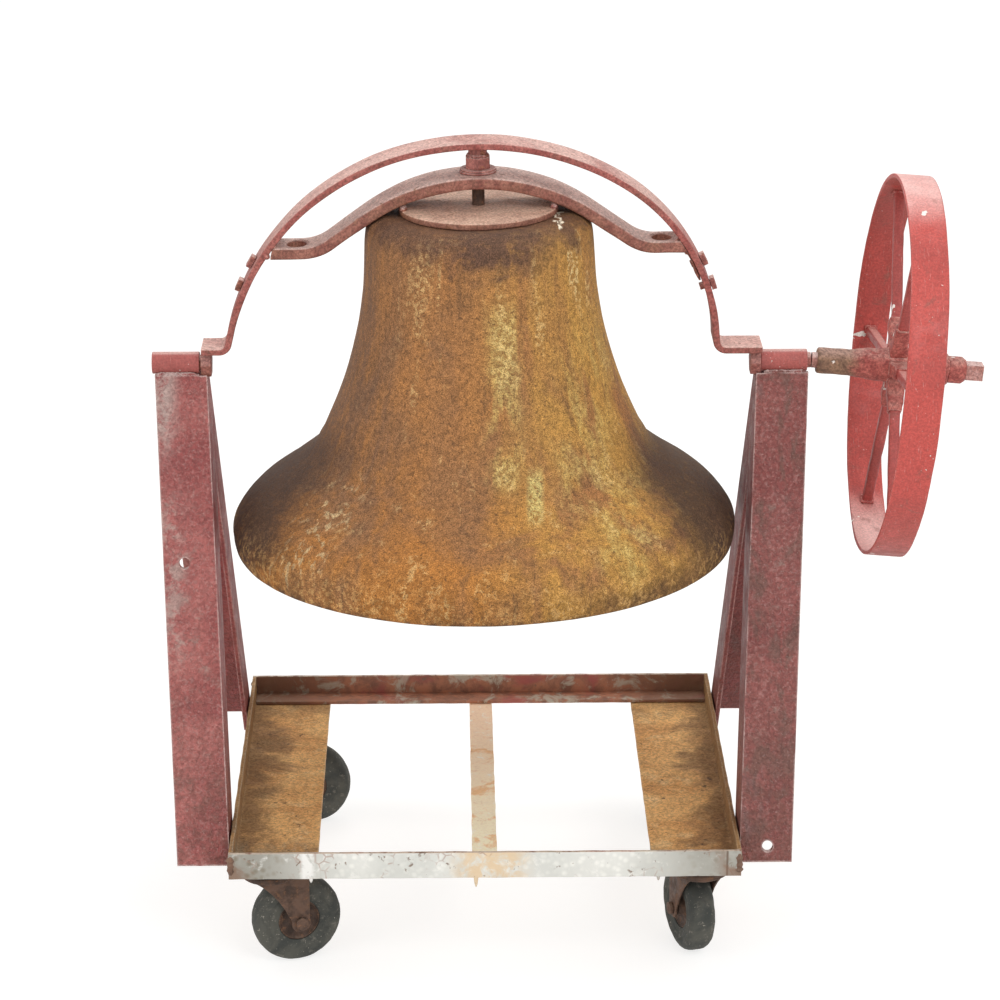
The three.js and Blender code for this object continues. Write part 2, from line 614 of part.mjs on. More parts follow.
// Drawn with the king pin at x = y = 0, trailing towards +X; z is still measured from the swing axis.
const axleZ = FLOOR_Z + CASTER.radius;
const padZ = [TRAY.bottomZ - GAP - CASTER_PLATE.thick, TRAY.bottomZ - GAP];
const racewayZ = [padZ[0] - CASTER_PLATE.racewayThick, padZ[0]];
const crownSpan = [racewayZ[0] - SWIVEL_PLAY - CASTER.crownThick, racewayZ[0] - SWIVEL_PLAY];
const pinHeadZ = [crownSpan[0] - SWIVEL_PLAY - KING_PIN.headThick, crownSpan[0] - SWIVEL_PLAY];

function makeCasterPlate() {
  const { length, depth, raceway } = CASTER_PLATE;
  return join(
    box([-length / 2, length / 2], [-depth / 2, depth / 2], padZ),
    rod(raceway, [racewayZ[0], racewayZ[1] + 1], "z"),
    rod(KING_PIN.radius, [pinHeadZ[0], racewayZ[0] + 1], "z", 20),
    rod(KING_PIN.head, pinHeadZ, "z", 20),
  );
}

function makeFork() {
  const crown = rod(CASTER.crownRadius, crownSpan, "z");
  const armOuter = FORK.armY + FORK.thick;
  const bridge = box([0, FORK.tail], [-armOuter, armOuter], crownSpan);
  const leaf = new THREE.Shape();
  leaf.moveTo(-FORK.nose, crownSpan[0] + 1);
  leaf.lineTo(FORK.tail, crownSpan[0] + 1);
  leaf.lineTo(CASTER.trail + FORK.axleBoss, axleZ);
  leaf.absarc(CASTER.trail, axleZ, FORK.axleBoss, 0, -0.8 * Math.PI, true);
  leaf.quadraticCurveTo(FORK.frontX, crownSpan[0] - FORK.frontDrop, -FORK.nose, crownSpan[0] + 1);
  const arms = cut(
    slabAcrossY(leaf, 2 * armOuter, 8),
    box([-100, 100], [-FORK.armY, FORK.armY], [axleZ - 30, crownSpan[0]]),
  );
  const axleHole = rod(AXLE.radius + GAP, [-50, 50], "y", 16).translate([CASTER.trail, 0, axleZ]);
  const pinHole = rod(KING_PIN.radius + SWIVEL_PLAY, [crownSpan[0] - 5, crownSpan[1] + 5], "z");
  return cut(join(crown, bridge, arms), axleHole, pinHole);
}

function makeCasterAxle() {
  const face = FORK.armY + FORK.thick + GAP;
  const shank = rod(AXLE.radius, [-face - 1, face + 1], "y", 16);
  const head = (from) => rod(AXLE.head, [from, from + AXLE.headThick], "y", 6);
  return join(shank, head(face), head(-face - AXLE.headThick)).translate([CASTER.trail, 0, axleZ]);
}

function makeTyre() {
  const half = CASTER.tread / 2;
  const inner = CORE.radius + GAP;
  const { radius } = CASTER;
  const { inward, across } = TYRE_SHOULDER;
  const profile = [
    [inner, -half], [radius - inward, -half], [radius, -half + across], [radius, half - across],
    [radius - inward, half], [inner, half], [inner, -half],
  ];
  return turned(profile, "y", 28).translate([CASTER.trail, 0, axleZ]);
}

function makeCore() {
  const { radius, width, bore, boss, bossHeight, dish } = CORE;
  const half = width / 2;
  const profile = [
    [bore, -half], [boss, -half], [boss, -half + bossHeight], [radius, -half + dish], [radius, half - dish],
    [boss, half - bossHeight], [boss, half], [bore, half], [bore, -half],
  ];
  return turned(profile, "y", 16).translate([CASTER.trail, 0, axleZ]);
}

// Where each caster stands and the way it trails, in degrees from +X towards the back.
const CASTERS = [
  { name: "front_left", x: -1, y: -1, heading: 20 },
  { name: "front_right", x: 1, y: -1, heading: 107 },
  { name: "rear_left", x: -1, y: 1, heading: -10 },
  { name: "rear_right", x: 1, y: 1, heading: -112 },
];
for (const { name, x, y, heading } of CASTERS) {
  const place = new THREE.Group();
  place.position.set(x * CASTER.x, y * CASTER.y, 0);
  fromShaft.add(place);
  addPiece(`caster_plate_${name}`, makeCasterPlate(), "brownIron", place);
  const swivel = new THREE.Group();
  swivel.rotation.z = degrees(heading);
  place.add(swivel);
  addPiece(`caster_fork_${name}`, makeFork(), "brownIron", swivel);
  addPiece(`caster_axle_${name}`, makeCasterAxle(), "brownIron", swivel);
  addPiece(`caster_tyre_${name}`, makeTyre(), "rubber", swivel);
  addPiece(`caster_core_${name}`, makeCore(), "brownIron", swivel);
}

export default fireBell;
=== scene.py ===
# A large hand-rung fire bell on a wheeled angle-iron stand: fine meshes and weathered materials
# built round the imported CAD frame. Metres, +Z up, in the frame's own place.
import json
import math

import bmesh
import bpy
from mathutils import Matrix, Vector, noise


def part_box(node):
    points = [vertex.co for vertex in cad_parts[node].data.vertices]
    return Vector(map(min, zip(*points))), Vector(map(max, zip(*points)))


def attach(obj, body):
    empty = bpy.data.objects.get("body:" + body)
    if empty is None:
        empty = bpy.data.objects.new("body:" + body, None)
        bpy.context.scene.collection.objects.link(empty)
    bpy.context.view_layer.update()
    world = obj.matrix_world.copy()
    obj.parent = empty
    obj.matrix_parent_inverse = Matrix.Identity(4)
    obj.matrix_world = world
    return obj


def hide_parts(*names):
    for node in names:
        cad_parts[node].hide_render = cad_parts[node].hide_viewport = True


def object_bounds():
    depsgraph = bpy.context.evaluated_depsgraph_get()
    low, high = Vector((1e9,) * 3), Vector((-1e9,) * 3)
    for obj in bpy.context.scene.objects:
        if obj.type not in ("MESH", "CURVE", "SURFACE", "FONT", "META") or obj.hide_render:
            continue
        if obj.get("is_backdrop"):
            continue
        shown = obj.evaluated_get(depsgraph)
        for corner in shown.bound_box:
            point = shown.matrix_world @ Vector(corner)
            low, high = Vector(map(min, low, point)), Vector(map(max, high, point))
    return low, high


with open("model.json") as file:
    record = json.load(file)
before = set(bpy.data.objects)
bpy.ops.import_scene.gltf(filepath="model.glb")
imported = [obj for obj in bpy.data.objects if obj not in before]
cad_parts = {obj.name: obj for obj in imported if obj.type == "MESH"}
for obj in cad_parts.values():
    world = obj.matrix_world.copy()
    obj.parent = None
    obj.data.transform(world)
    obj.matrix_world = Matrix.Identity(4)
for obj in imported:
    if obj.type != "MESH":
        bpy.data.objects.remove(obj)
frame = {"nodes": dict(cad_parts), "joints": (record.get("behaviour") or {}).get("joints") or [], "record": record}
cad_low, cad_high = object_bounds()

JOINTS = {joint["name"]: joint for joint in frame["joints"]}
AXIS = Vector(JOINTS["bell_swing"]["pos_m"])  # the swing axis, on the bell's centre line
MM = 0.001


def turn_of(direction):
    """The rotation that takes +Z to a direction."""
    return Vector(direction).to_track_quat("Z", "Y").to_matrix()


# --- meshes -----------------------------------------------


def lofted(rings, closed=False, capped=True):
    """A skin over a list of rings with the same number of points."""
    mesh = bmesh.new()
    rows = [[mesh.verts.new(point) for point in ring] for ring in rings]
    count = len(rows[0])
    pairs = list(zip(rows, rows[1:]))
    if closed:
        pairs.append((rows[-1], rows[0]))
    for low, high in pairs:
        for i in range(count):
            j = (i + 1) % count
            mesh.faces.new((low[i], low[j], high[j], high[i]))
    if capped and not closed:
        mesh.faces.new(list(reversed(rows[0])))
        mesh.faces.new(rows[-1])
    return mesh


def rounded(points, radius, steps=3):
    """A closed outline with its corners rounded; a corner's third number is a radius of its own."""
    out = []
    count = len(points)
    for i, corner in enumerate(points):
        here = Vector(corner[:2])
        before = Vector(points[i - 1][:2]) - here
        after = Vector(points[(i + 1) % count][:2]) - here
        size = corner[2] if len(corner) > 2 else radius
        if size <= 0:
            out.append(here)
            continue
        half = before.angle(after) / 2
        run = min(size / math.tan(half), before.length * 0.49, after.length * 0.49)
        start = here + before.normalized() * run
        end = here + after.normalized() * run
        for step in range(steps + 1):
            t = step / steps
            out.append(start * (1 - t) ** 2 + here * 2 * t * (1 - t) + end * t * t)
    return out


def rounded_bar(width, thick, radius, steps=3):
    half_w, half_t = width / 2, thick / 2
    corners = [(-half_w, -half_t), (half_w, -half_t), (half_w, half_t), (-half_w, half_t)]
    return rounded(corners, radius, steps)


def turns(count):
    return [2 * math.pi * k / count for k in range(count)]


def turned(outline, segments, centre, direction=(0, 0, 1)):
    """A closed outline of (radius, height) in millimetres, turned about an axis through centre."""
    turn = turn_of(direction)
    outline = [(r * MM, h * MM) for r, h in outline]
    rings = []
    for a in turns(segments):
        rings.append([centre + turn @ Vector((r * math.cos(a), r * math.sin(a), h)) for r, h in outline])
    mesh = lofted(rings, closed=True)
    bmesh.ops.remove_doubles(mesh, verts=mesh.verts, dist=1e-6)
    return mesh


def joined(*meshes):
    out = bmesh.new()
    for mesh in meshes:
        part = bpy.data.meshes.new("part")
        mesh.to_mesh(part)
        mesh.free()
        out.from_mesh(part)
        bpy.data.meshes.remove(part)
    return out


def bevelled(mesh, width, segments=3, angle=35):
    """Rounds every edge sharper than an angle."""
    sharp = [e for e in mesh.edges if e.is_manifold and e.calc_face_angle() > math.radians(angle)]
    style = {"profile": 0.6, "affect": "EDGES", "clamp_overlap": True}
    bmesh.ops.bevel(mesh, geom=sharp, offset=width, segments=segments, **style)
    return mesh


def cad_copy(node, flat=0.8):
    """A CAD node's own shape, with its flat faces merged so that edges can be rounded."""
    mesh = bmesh.new()
    mesh.from_mesh(frame["nodes"][node].data)
    bmesh.ops.remove_doubles(mesh, verts=mesh.verts, dist=1e-6)
    bmesh.ops.dissolve_limit(mesh, angle_limit=math.radians(flat), verts=mesh.verts, edges=mesh.edges)
    return mesh


def rough_surface(mesh, size, depth, seed):
    """Moves each vertex along its normal by smooth noise of a size and depth in millimetres."""
    mesh.normal_update()
    shift = Vector((seed, seed * 0.7, seed * 1.3))
    size, depth = size * MM, depth * MM
    offsets = [noise.noise(vert.co / size + shift) * depth for vert in mesh.verts]
    for vert, offset in zip(mesh.verts, offsets):
        vert.co += vert.normal * offset
    return mesh


def weld_bead(points, radius, seed=0.0, lumps=0.35, sides=10):
    """A lumpy bead of weld along a line of points; its radius is in millimetres."""
    radius *= MM
    steps = []
    for start, end in zip(points, points[1:]):
        count = max(2, round((end - start).length / (radius * 0.45)))
        steps += [start.lerp(end, k / count) for k in range(count)]
    steps.append(points[-1])
    rings = []
    for k, at in enumerate(steps):
        ahead = steps[min(k + 1, len(steps) - 1)] - steps[max(k - 1, 0)]
        turn = turn_of(ahead)
        ripple = 1 + lumps * noise.noise(Vector((k * 0.7 + seed, seed, 0.3)))
        fade = min(1, 0.35 + 0.4 * k, 0.35 + 0.4 * (len(steps) - 1 - k))
        ring = []
        for a in turns(sides):
            local = 1 + 0.25 * noise.noise(Vector((math.cos(a) * 1.5 + seed, math.sin(a) * 1.5, k * 0.6)))
            ring.append(at + turn @ Vector((math.cos(a), math.sin(a), 0)) * radius * ripple * fade * local)
        rings.append(ring)
    return lofted(rings)


def linked(name, data):
    """A new object in the scene; a bmesh is turned into its mesh first."""
    if isinstance(data, bmesh.types.BMesh):
        mesh, data = data, bpy.data.meshes.new(name)
        mesh.to_mesh(data)
        mesh.free()
    made = bpy.data.objects.new(name, data)
    bpy.context.scene.collection.objects.link(made)
    return made


def piece(name, mesh, body, finish, nodes=(), smooth=32):
    """Turns a bmesh into a named object that rides on a body and stands for CAD nodes."""
    bmesh.ops.recalc_face_normals(mesh, faces=mesh.faces)
    made = linked(name, mesh)
    for face in made.data.polygons:
        face.use_smooth = True
    made.data.set_sharp_from_angle(angle=math.radians(smooth))
    made.data.materials.append(finish)
    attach(made, body)
    if nodes:
        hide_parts(*nodes)
    return made


def body_of(node):
    return next(body for body, names in frame["record"]["behaviour"]["bodies"].items() if node in names)


def stand_in(node, mesh, finish, smooth=32):
    """A piece that stands for one CAD node, on its body."""
    return piece(node + "_fine", mesh, body_of(node), finish, [node], smooth)


# --- materials --------------------------------------------


class Finish:
    """A node material on one Principled shader. A mask is a node's value, a number, or a tuple of
    (value, low, high) for level(), which rises from 0 to 1 between the two."""

    def __init__(self, name, specular=0.4):
        self.material = bpy.data.materials.new(name)
        self.material.use_nodes = True
        self.tree = self.material.node_tree
        self.tree.nodes.clear()
        output = self.add("ShaderNodeOutputMaterial")
        self.shader = self.add("ShaderNodeBsdfPrincipled")
        self.shader.inputs["Specular IOR Level"].default_value = specular
        self.tree.links.new(self.shader.outputs[0], output.inputs[0])
        self.colour = None
        coord = self.add("ShaderNodeTexCoord")
        self.place = coord.outputs["Object"]
        self.xyz = self.split(self.place)
        self.up = self.split(coord.outputs["Normal"])

    def add(self, kind, inputs=(), **settings):
        """A node with its settings and its inputs, which are given in order or by name."""
        node = self.tree.nodes.new(kind)
        for key, value in settings.items():
            setattr(node, key, value)
        for key, value in inputs.items() if isinstance(inputs, dict) else enumerate(inputs):
            self.put(node.inputs[key], value)
        return node

    def put(self, socket, value):
        if isinstance(value, bpy.types.NodeSocket):
            self.tree.links.new(value, socket)
        elif isinstance(value, (tuple, list)) and len(value) == 3 and socket.type == "RGBA":
            socket.default_value = (*value, 1)
        else:
            socket.default_value = value

    def split(self, vector):
        return self.add("ShaderNodeSeparateXYZ", [vector]).outputs

    def noise(self, scale, detail=4.0, rough=0.55, twist=0.0, at=None):
        inputs = {"Vector": at or self.place, "Scale": scale, "Detail": detail}
        inputs |= {"Roughness": rough, "Distortion": twist}
        return self.add("ShaderNodeTexNoise", inputs).outputs["Fac"]

    def noises(self, *wanted):
        return [self.noise(*values) for values in wanted]

    def streaks(self, scales, detail, rough, twist, shift=(0, 0, 0)):
        """Noise with a scale of its own along each axis."""
        inputs = {"Vector": self.place, "Location": shift, "Scale": scales}
        return self.noise(1.0, detail, rough, twist, self.add("ShaderNodeMapping", inputs).outputs[0])

    def cells(self, scale, feature="F1"):
        inputs = {"Vector": self.place, "Scale": scale}
        return self.add("ShaderNodeTexVoronoi", inputs, feature=feature).outputs["Distance"]

    def level(self, value, low, high, to_low=0.0, to_high=1.0):
        inputs = [value, low, high, to_low, to_high]
        return self.add("ShaderNodeMapRange", inputs, interpolation_type="SMOOTHSTEP").outputs[0]

    def calc(self, operation, *values):
        return self.add("ShaderNodeMath", values, operation=operation).outputs[0]

    def chained(self, operation, masks):
        masks = [self.level(*mask) if isinstance(mask, tuple) else mask for mask in masks]
        out = masks[0]
        for mask in masks[1:]:
            out = self.calc(operation, out, mask)
        return out

    def plus(self, one, other):
        return self.calc("ADD", one, other)

    def both(self, *masks):
        return self.chained("MULTIPLY", masks)

    def either(self, *masks):
        return self.chained("MAXIMUM", masks)

    def blend(self, share, low, high, mode="MIX"):
        inputs = {0: share, 6: low, 7: high}  # the factor and the two colours
        return self.add("ShaderNodeMix", inputs, data_type="RGBA", blend_type=mode).outputs[2]

    def base(self, share, low, high):
        """The first coat: one colour going over into another."""
        self.colour = self.blend(self.both(share), low, high)

    def over(self, tint, *masks):
        """Lays a tint over the colour where all the masks are up."""
        self.colour = self.blend(self.both(*masks), self.colour, tint)

    def times(self, shade):
        """Multiplies the colour."""
        self.colour = self.blend(1.0, self.colour, shade, "MULTIPLY")

    def speckle(self, value, dark, light, low=0.34, high=0.66):
        """Multiplies the colour by dark to light as a value goes up."""
        self.times(self.level(value, low, high, dark, light))

    def away(self, value, origin):
        return self.calc("ABSOLUTE", self.calc("SUBTRACT", value, origin))

    def ramp(self, line, start, end):
        """0 to 1 between two places in millimetres; the line is a value and its origin."""
        value, origin = line
        return self.level(value, origin + start * MM, origin + end * MM)

    def near(self, line, centre, full, none):
        """1 within a distance of a place, falling to 0."""
        value, origin = line
        return self.ramp((self.away(value, origin + centre * MM), 0), none, full)

    def wander(self, value, reach):
        """A noise value as a distance either way, in millimetres, to add to a place."""
        return self.calc("MULTIPLY", self.calc("SUBTRACT", value, 0.5), reach * MM)

    def edges(self, radius, low=0.02, high=0.2):
        """Where the surface turns within a radius in millimetres: 1 on an edge, 0 on a flat."""
        soft = self.add("ShaderNodeBevel", {"Radius": radius * MM}, samples=4).outputs[0]
        flat = self.add("ShaderNodeNewGeometry").outputs["Normal"]
        dot = self.add("ShaderNodeVectorMath", [soft, flat], operation="DOT_PRODUCT")
        return self.level(self.calc("SUBTRACT", 1.0, dot.outputs["Value"]), low, high)

    def done(self, rough, *heights, metal=0.0):
        """Sets colour and roughness, a number or (value, smoothest, dullest), and chains a bump
        for each (height, depth in millimetres)."""
        if isinstance(rough, tuple):
            rough = self.level(rough[0], 0.3, 0.7, *rough[1:])
        wanted = {"Base Color": self.colour, "Roughness": rough, "Metallic": metal}
        for height, depth in heights:
            inputs = {"Strength": 1.0, "Distance": depth * MM, "Height": height}
            if "Normal" in wanted:
                inputs["Normal"] = wanted["Normal"]
            wanted["Normal"] = self.add("ShaderNodeBump", inputs).outputs[0]
        for key, value in wanted.items():
            self.put(self.shader.inputs[key], value)
        return self.material


# --- the finishes -----------------------------------------


def scaled(colour, share):
    return tuple(c * share for c in colour)


def bell_finish():
    """Sand-cast bell under old golden-brown rust, with darker stains, painted shade down its sides and pale green
    runs.
    """
    f = Finish("bell_rust", specular=0.22)
    x, y, z = f.xyz
    lip_z, crown_z = (corner.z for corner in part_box("bell"))
    across, over_lip, over_crown = (x, AXIS.x), (z, lip_z), (z, crown_z)
    runs = f.streaks((38, 38, 3.2), 4, 0.6, 0.3)
    wide_runs = f.streaks((13, 13, 2.2), 3, 0.55, 0.5, (3, 0, 0))
    patches, clouds, grain = f.noises((7.5, 5, 0.6, 0.6), (22, 5, 0.65, 0.4), (800, 3, 0.8))
    coarse, mottle = f.noises((170, 4, 0.7), (60, 5, 0.65, 0.4))
    ragged = f.wander(clouds, 110)

    f.base((patches, 0.38, 0.62), (0.31, 0.147, 0.06), (0.368, 0.166, 0.058))
    f.over((0.245, 0.124, 0.06), (clouds, 0.5, 0.74), 0.8)
    low = f.ramp(over_lip, 230, 20)
    f.over((0.45, 0.182, 0.04), (wide_runs, 0.4, 0.6), f.plus(f.both(low, 0.75), 0.12))  # orange
    f.over((0.5, 0.272, 0.066), (wide_runs, 0.36, 0.56), f.ramp(across, -40, 120), 0.85)  # gold

    # Pale yellow-green runs: one down the middle, one to its right, one low on the flare.
    middle_run = f.both(
        f.near(across, 24, 5, 32), f.ramp(over_lip, 120, 150), f.ramp(over_crown, -60, -110)
    )
    right_run = f.both(
        f.near(across, 118, 14, 48), f.ramp(over_lip, 80, 125), f.ramp(over_crown, -90, -190), 0.85
    )
    flare_run = f.both(f.near(across, 168, 14, 50), f.near(over_lip, 82, 24, 70), 0.95)
    f.over(
        (0.54, 0.42, 0.14), f.either(middle_run, right_run, flare_run), (runs, 0.4, 0.6),
        (coarse, 0.22, 0.66), 0.66,
    )
    spot = f.both(f.near(across, 60, 5, 13), f.near(over_lip, 128, 12, 34), 0.7)
    f.over((0.58, 0.5, 0.19), spot, (coarse, 0.35, 0.55))
    shoulder = f.both(f.near(across, 115, 12, 40), f.ramp(over_crown, -115, -60))
    f.over((0.6, 0.43, 0.19), (runs, 0.55, 0.68), (coarse, 0.46, 0.57), f.plus(0.45, shoulder))  # flecks

    # Grey-brown runs darken the waist's left side: painted shade, together with dirt.
    left = f.both(f.ramp(across, -66, -128), f.ramp(over_lip, 40, 150))
    f.over((0.175, 0.098, 0.062), left, (runs, 0.28, 0.6), 0.75)
    # Darker threads run down the whole casting.
    fine_runs = f.streaks((85, 85, 9), 4, 0.65, 0.3)
    f.over((0.165, 0.085, 0.04), (fine_runs, 0.47, 0.34), (runs, 0.6, 0.36), 0.6)  # threads
    # A dark patch under the front of the crown plate.
    ragged_z = f.plus(z, ragged)
    ragged_x = f.plus(x, ragged)
    patch = f.both(
        f.near((ragged_x, AXIS.x), 12, 26, 92), f.ramp((ragged_z, crown_z), -60, -22),
        (mottle, 0.24, 0.5), 0.9,
    )
    rim = f.both(f.ramp((ragged_z, crown_z), -42, -2), 0.78)
    f.over((0.105, 0.056, 0.04), f.either(patch, rim))
    # Painted shade and dark reflections on both sides of the flare, where it turns away, mixed with dark stains;
    # pale scratches run along their inner edge.
    side = f.away(*across)
    rise = f.both(f.calc("SUBTRACT", z, lip_z), 0.85)
    spread = f.plus(f.plus(side, rise), f.both(ragged, 0.55))
    f.over(
        (0.078, 0.044, 0.029), f.ramp((spread, 0), 258, 316), f.ramp(over_lip, 185, 112),
        (mottle, 0.18, 0.46, 0.72, 1.0), 0.95,
    )  # painted shade and stains at the sides
    f.over(
        (0.12, 0.062, 0.03), f.ramp(across, 90, 190), f.ramp((ragged_z, lip_z), 52, 8), 0.75
    )  # right of the lip
    scratches = f.level(f.streaks((90, 90, 22), 3, 0.6, 0.4), 0.54, 0.64)
    inner_edge = f.both(f.near((spread, 0), 262, 8, 34), f.ramp(across, 0, -60), f.ramp(over_lip, 150, 90))
    f.over((0.58, 0.42, 0.22), inner_edge, scratches, 0.8)
    # Pale chipped scale near the lip, and a darker band along its lower edge.
    scale = f.both((coarse, 0.48, 0.58), f.ramp(over_lip, 62, 8), (clouds, 0.36, 0.56))
    f.over((0.5, 0.3, 0.115), scale, 0.7)
    lip = f.both(f.ramp(over_lip, 13, 2), (f.noise(60, 4), 0.4, 0.58))
    f.over((0.13, 0.065, 0.034), lip, 0.8)
    f.speckle(coarse, 0.78, 1.24)
    f.speckle(grain, 0.46, 1.46)
    chip_at = f.both(f.near((ragged_x, AXIS.x), 88, 2, 6), f.ramp((y, AXIS.y), -10, -20))
    f.over((0.9, 0.8, 0.62), chip_at, f.near(over_crown, -1, 2, 5), (coarse, 0.4, 0.46))  # chip
    f.speckle(f.both(f.ramp(over_lip, 120, 0), (mottle, 0.3, 0.7)), 1.0, 0.66, 0, 1)
    f.over((0.085, 0.043, 0.022), (f.noise(300, 2, 0.6), 0.4, 0.33), 0.6)  # pits
    return f.done((coarse, 0.62, 0.86), (clouds, 0.9), (coarse, 0.9), (grain, 0.4), metal=0.05)


def old_paint(name, deep, mid, pale, rust, wear=0.5, dust_and_painted_light=0.6):
    """Old oil paint on iron: deep in the hollows, pale on top from dust and from painted light on every upward
    face, rubbed at the edges.
    """
    f = Finish(name, specular=0.35)
    clouds, mottle, grain = f.noises((14, 5, 0.6, 0.4), (60, 5, 0.65, 0.3), (320, 3, 0.75))
    f.base((mottle, 0.35, 0.65), deep, mid)
    f.over(rust, (clouds, 0.46, 0.7), 0.6)
    # Upward faces are paler: dust patches, and an even painted light over every upward face.
    top = f.level(f.up[2], 0.3, 0.9)
    dusty = f.both(top, (f.plus(clouds, f.both(mottle, 0.4)), 0.45, 0.8), dust_and_painted_light)
    f.over(pale, f.plus(dusty, f.both(top, dust_and_painted_light * 0.55)))
    f.over(pale, f.edges(2.4), (mottle, 0.36, 0.58), wear)  # rubbed
    chips = f.both((f.noise(95, 4, 0.6, 0.8), 0.62, 0.68), 0.75)
    f.over(rust, chips)
    f.speckle(grain, 0.66, 1.34)
    return f.done((mottle, 0.5, 0.8), (mottle, 0.5), (grain, 0.25), (chips, -0.15))


def stand_finish():
    """Thick crimson paint over pitted steel: hammered skin, fine pale specks, grey rubbed edges."""
    f = Finish("stand_paint", specular=0.45)
    x, y, z = f.xyz
    across, height = (x, AXIS.x), (z, AXIS.z)
    peel, wrinkles, hammered = f.noises((210, 3, 0.6, 0.25), (170, 4, 0.62, 1.0), (250, 2, 0.5, 0.6))
    clouds, mottle = f.noises((9, 5, 0.62, 0.5), (45, 5, 0.7, 0.3))
    smears = f.streaks((30, 30, 9), 5, 0.62, 0.6)
    long_wear = f.streaks((40, 40, 5), 4, 0.6, 0.4)
    right = f.ramp(across, -50, 50)
    inward = f.either((f.calc("ABSOLUTE", f.up[0]), 0.55, 0.9), f.ramp((y, 0), 0, 60))

    f.base((clouds, 0.35, 0.65), (0.262, 0.056, 0.052), (0.37, 0.11, 0.096))
    f.over((0.175, 0.048, 0.04), right, 0.62)
    # Painted highlight on each raised spot of the hammered skin, less so on the inner flanges.
    raised = f.both((wrinkles, 0.48, 0.62), (peel, 0.3, 0.6))
    show = f.calc("SUBTRACT", 0.34, f.both(inward, 0.28))
    f.over((0.46, 0.26, 0.235), raised, show)
    f.over((0.15, 0.036, 0.034), (wrinkles, 0.46, 0.34), 0.3)  # painted shade in the hollows
    f.over(
        (0.31, 0.21, 0.18), (mottle, 0.54, 0.68), (clouds, 0.42, 0.6),
        f.calc("SUBTRACT", 0.7, f.both(inward, 0.62)),
    )
    # A worn grey-beige patch at the head of the left front leg, and a brown one at the foot of the right.
    f.over(
        (0.46, 0.36, 0.32), f.ramp(across, -360, -385), f.ramp(height, -130, -60),
        (mottle, 0.34, 0.56), 0.75,
    )
    f.over(
        (0.44, 0.33, 0.29), f.ramp(across, -350, -372), f.near(height, -240, 40, 130),
        (mottle, 0.44, 0.6), 0.6,
    )  # lower down
    f.over((0.135, 0.068, 0.052), right, (smears, 0.5, 0.64), 0.7)
    f.over((0.16, 0.064, 0.048), f.ramp((z, 0), 420, 180), (mottle, 0.34, 0.62), 0.62)  # foot
    f.over((0.14, 0.085, 0.078), (f.streaks((22, 22, 7), 5, 0.6, 0.8), 0.6, 0.72), 0.5)  # grime
    f.over((0.56, 0.42, 0.39), (f.up[2], 0.55, 0.85), 0.8)
    f.over((0.58, 0.45, 0.42), f.edges(3.4, 0.008, 0.11), (long_wear, 0.34, 0.52), 0.92)  # rubbed
    f.over(
        (0.52, 0.36, 0.32), (f.noise(420, 3, 0.6), 0.6, 0.7), f.calc("SUBTRACT", 0.32, f.both(inward, 0.28))
    )
    # The inner flanges and the rear legs are darker and redder, partly painted shade and partly paint that kept
    # its colour, and the whole skin is bumpy.
    f.times(f.blend(f.both(inward, 0.85), (1, 1, 1), (0.95, 0.66, 0.63)))
    f.speckle(hammered, 0.85, 1.17, 0.36, 0.64)
    return f.done((mottle, 0.4, 0.66), (mottle, 0.6), (wrinkles, 1.6), (hammered, 2.6))


def wheel_finish(name, base, faded, bare, chip_size=32):
    """Coral-red paint, faded to pink on top, with fine scratches and white chips."""
    f = Finish(name, specular=0.45)
    clouds, mottle, grain = f.noises((11, 4, 0.6, 0.4), (70, 5, 0.65), (380, 3, 0.7))
    scratches = f.streaks((900, 60, 60), 3, 0.6, 0.2)
    f.base((clouds, 0.38, 0.64), base, scaled(base, 0.8))
    f.over(faded, (f.up[2], 0.86, 1.0), (clouds, 0.2, 0.6, 0.6, 1.0))
    f.over(faded, (scratches, 0.6, 0.72), (mottle, 0.4, 0.6), 0.5)
    f.over(faded, f.edges(1.8, 0.01, 0.12), (mottle, 0.36, 0.55), 0.8)
    f.over((0.3, 0.11, 0.09), (f.up[2], -0.35, -0.9), (mottle, 0.35, 0.6), 0.5)  # painted shade underneath
    f.over(bare, (f.noise(30, 5, 0.65, 0.6), 0.58, 0.72), 0.6)  # dirt
    chips = f.level(f.noise(chip_size, 3, 0.6, 0.9), 0.7, 0.715)
    specks = f.both((f.noise(300, 2, 0.5), 0.72, 0.76), 0.5)
    f.over((0.8, 0.74, 0.68), f.either(chips, specks))
    f.speckle(grain, 0.82, 1.16)
    return f.done((mottle, 0.4, 0.66), (mottle, 0.3), (grain, 0.16), (chips, 0.2))


def hub_finish():
    """The wheel's hub: tan and olive rust at its left half, worn red paint towards the wheel, and a painted
    highlight along its top.
    """
    f = Finish("hub_paint", specular=0.38)
    clouds, mottle, grain = f.noises((30, 5, 0.6, 0.4), (85, 5, 0.68, 0.3), (340, 3, 0.75))
    low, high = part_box("wheel_hub")
    middle = low.x + (high.x - low.x) * 0.3
    ragged = f.plus(f.xyz[0], f.wander(clouds, 60))
    red = f.ramp((ragged, middle), -14, 10)
    tan = f.blend(f.level(mottle, 0.35, 0.62), (0.15, 0.078, 0.05), (0.27, 0.155, 0.095))
    paint = f.blend(f.level(mottle, 0.35, 0.65), (0.3, 0.06, 0.05), (0.44, 0.125, 0.1))
    f.base(red, tan, paint)
    # Painted highlight along the hub's top.
    f.over((0.48, 0.31, 0.26), (f.up[2], 0.3, 0.95), (mottle, 0.3, 0.6), 0.6)
    f.over((0.66, 0.5, 0.44), f.edges(2.0), (mottle, 0.36, 0.58), 0.6)  # rubbed
    chips = f.level(f.noise(58, 3, 0.6, 0.8), 0.67, 0.69)
    f.over((0.78, 0.72, 0.66), chips)
    f.speckle(grain, 0.68, 1.34)
    return f.done((mottle, 0.5, 0.8), (mottle, 0.5), (grain, 0.25), (chips, 0.15))


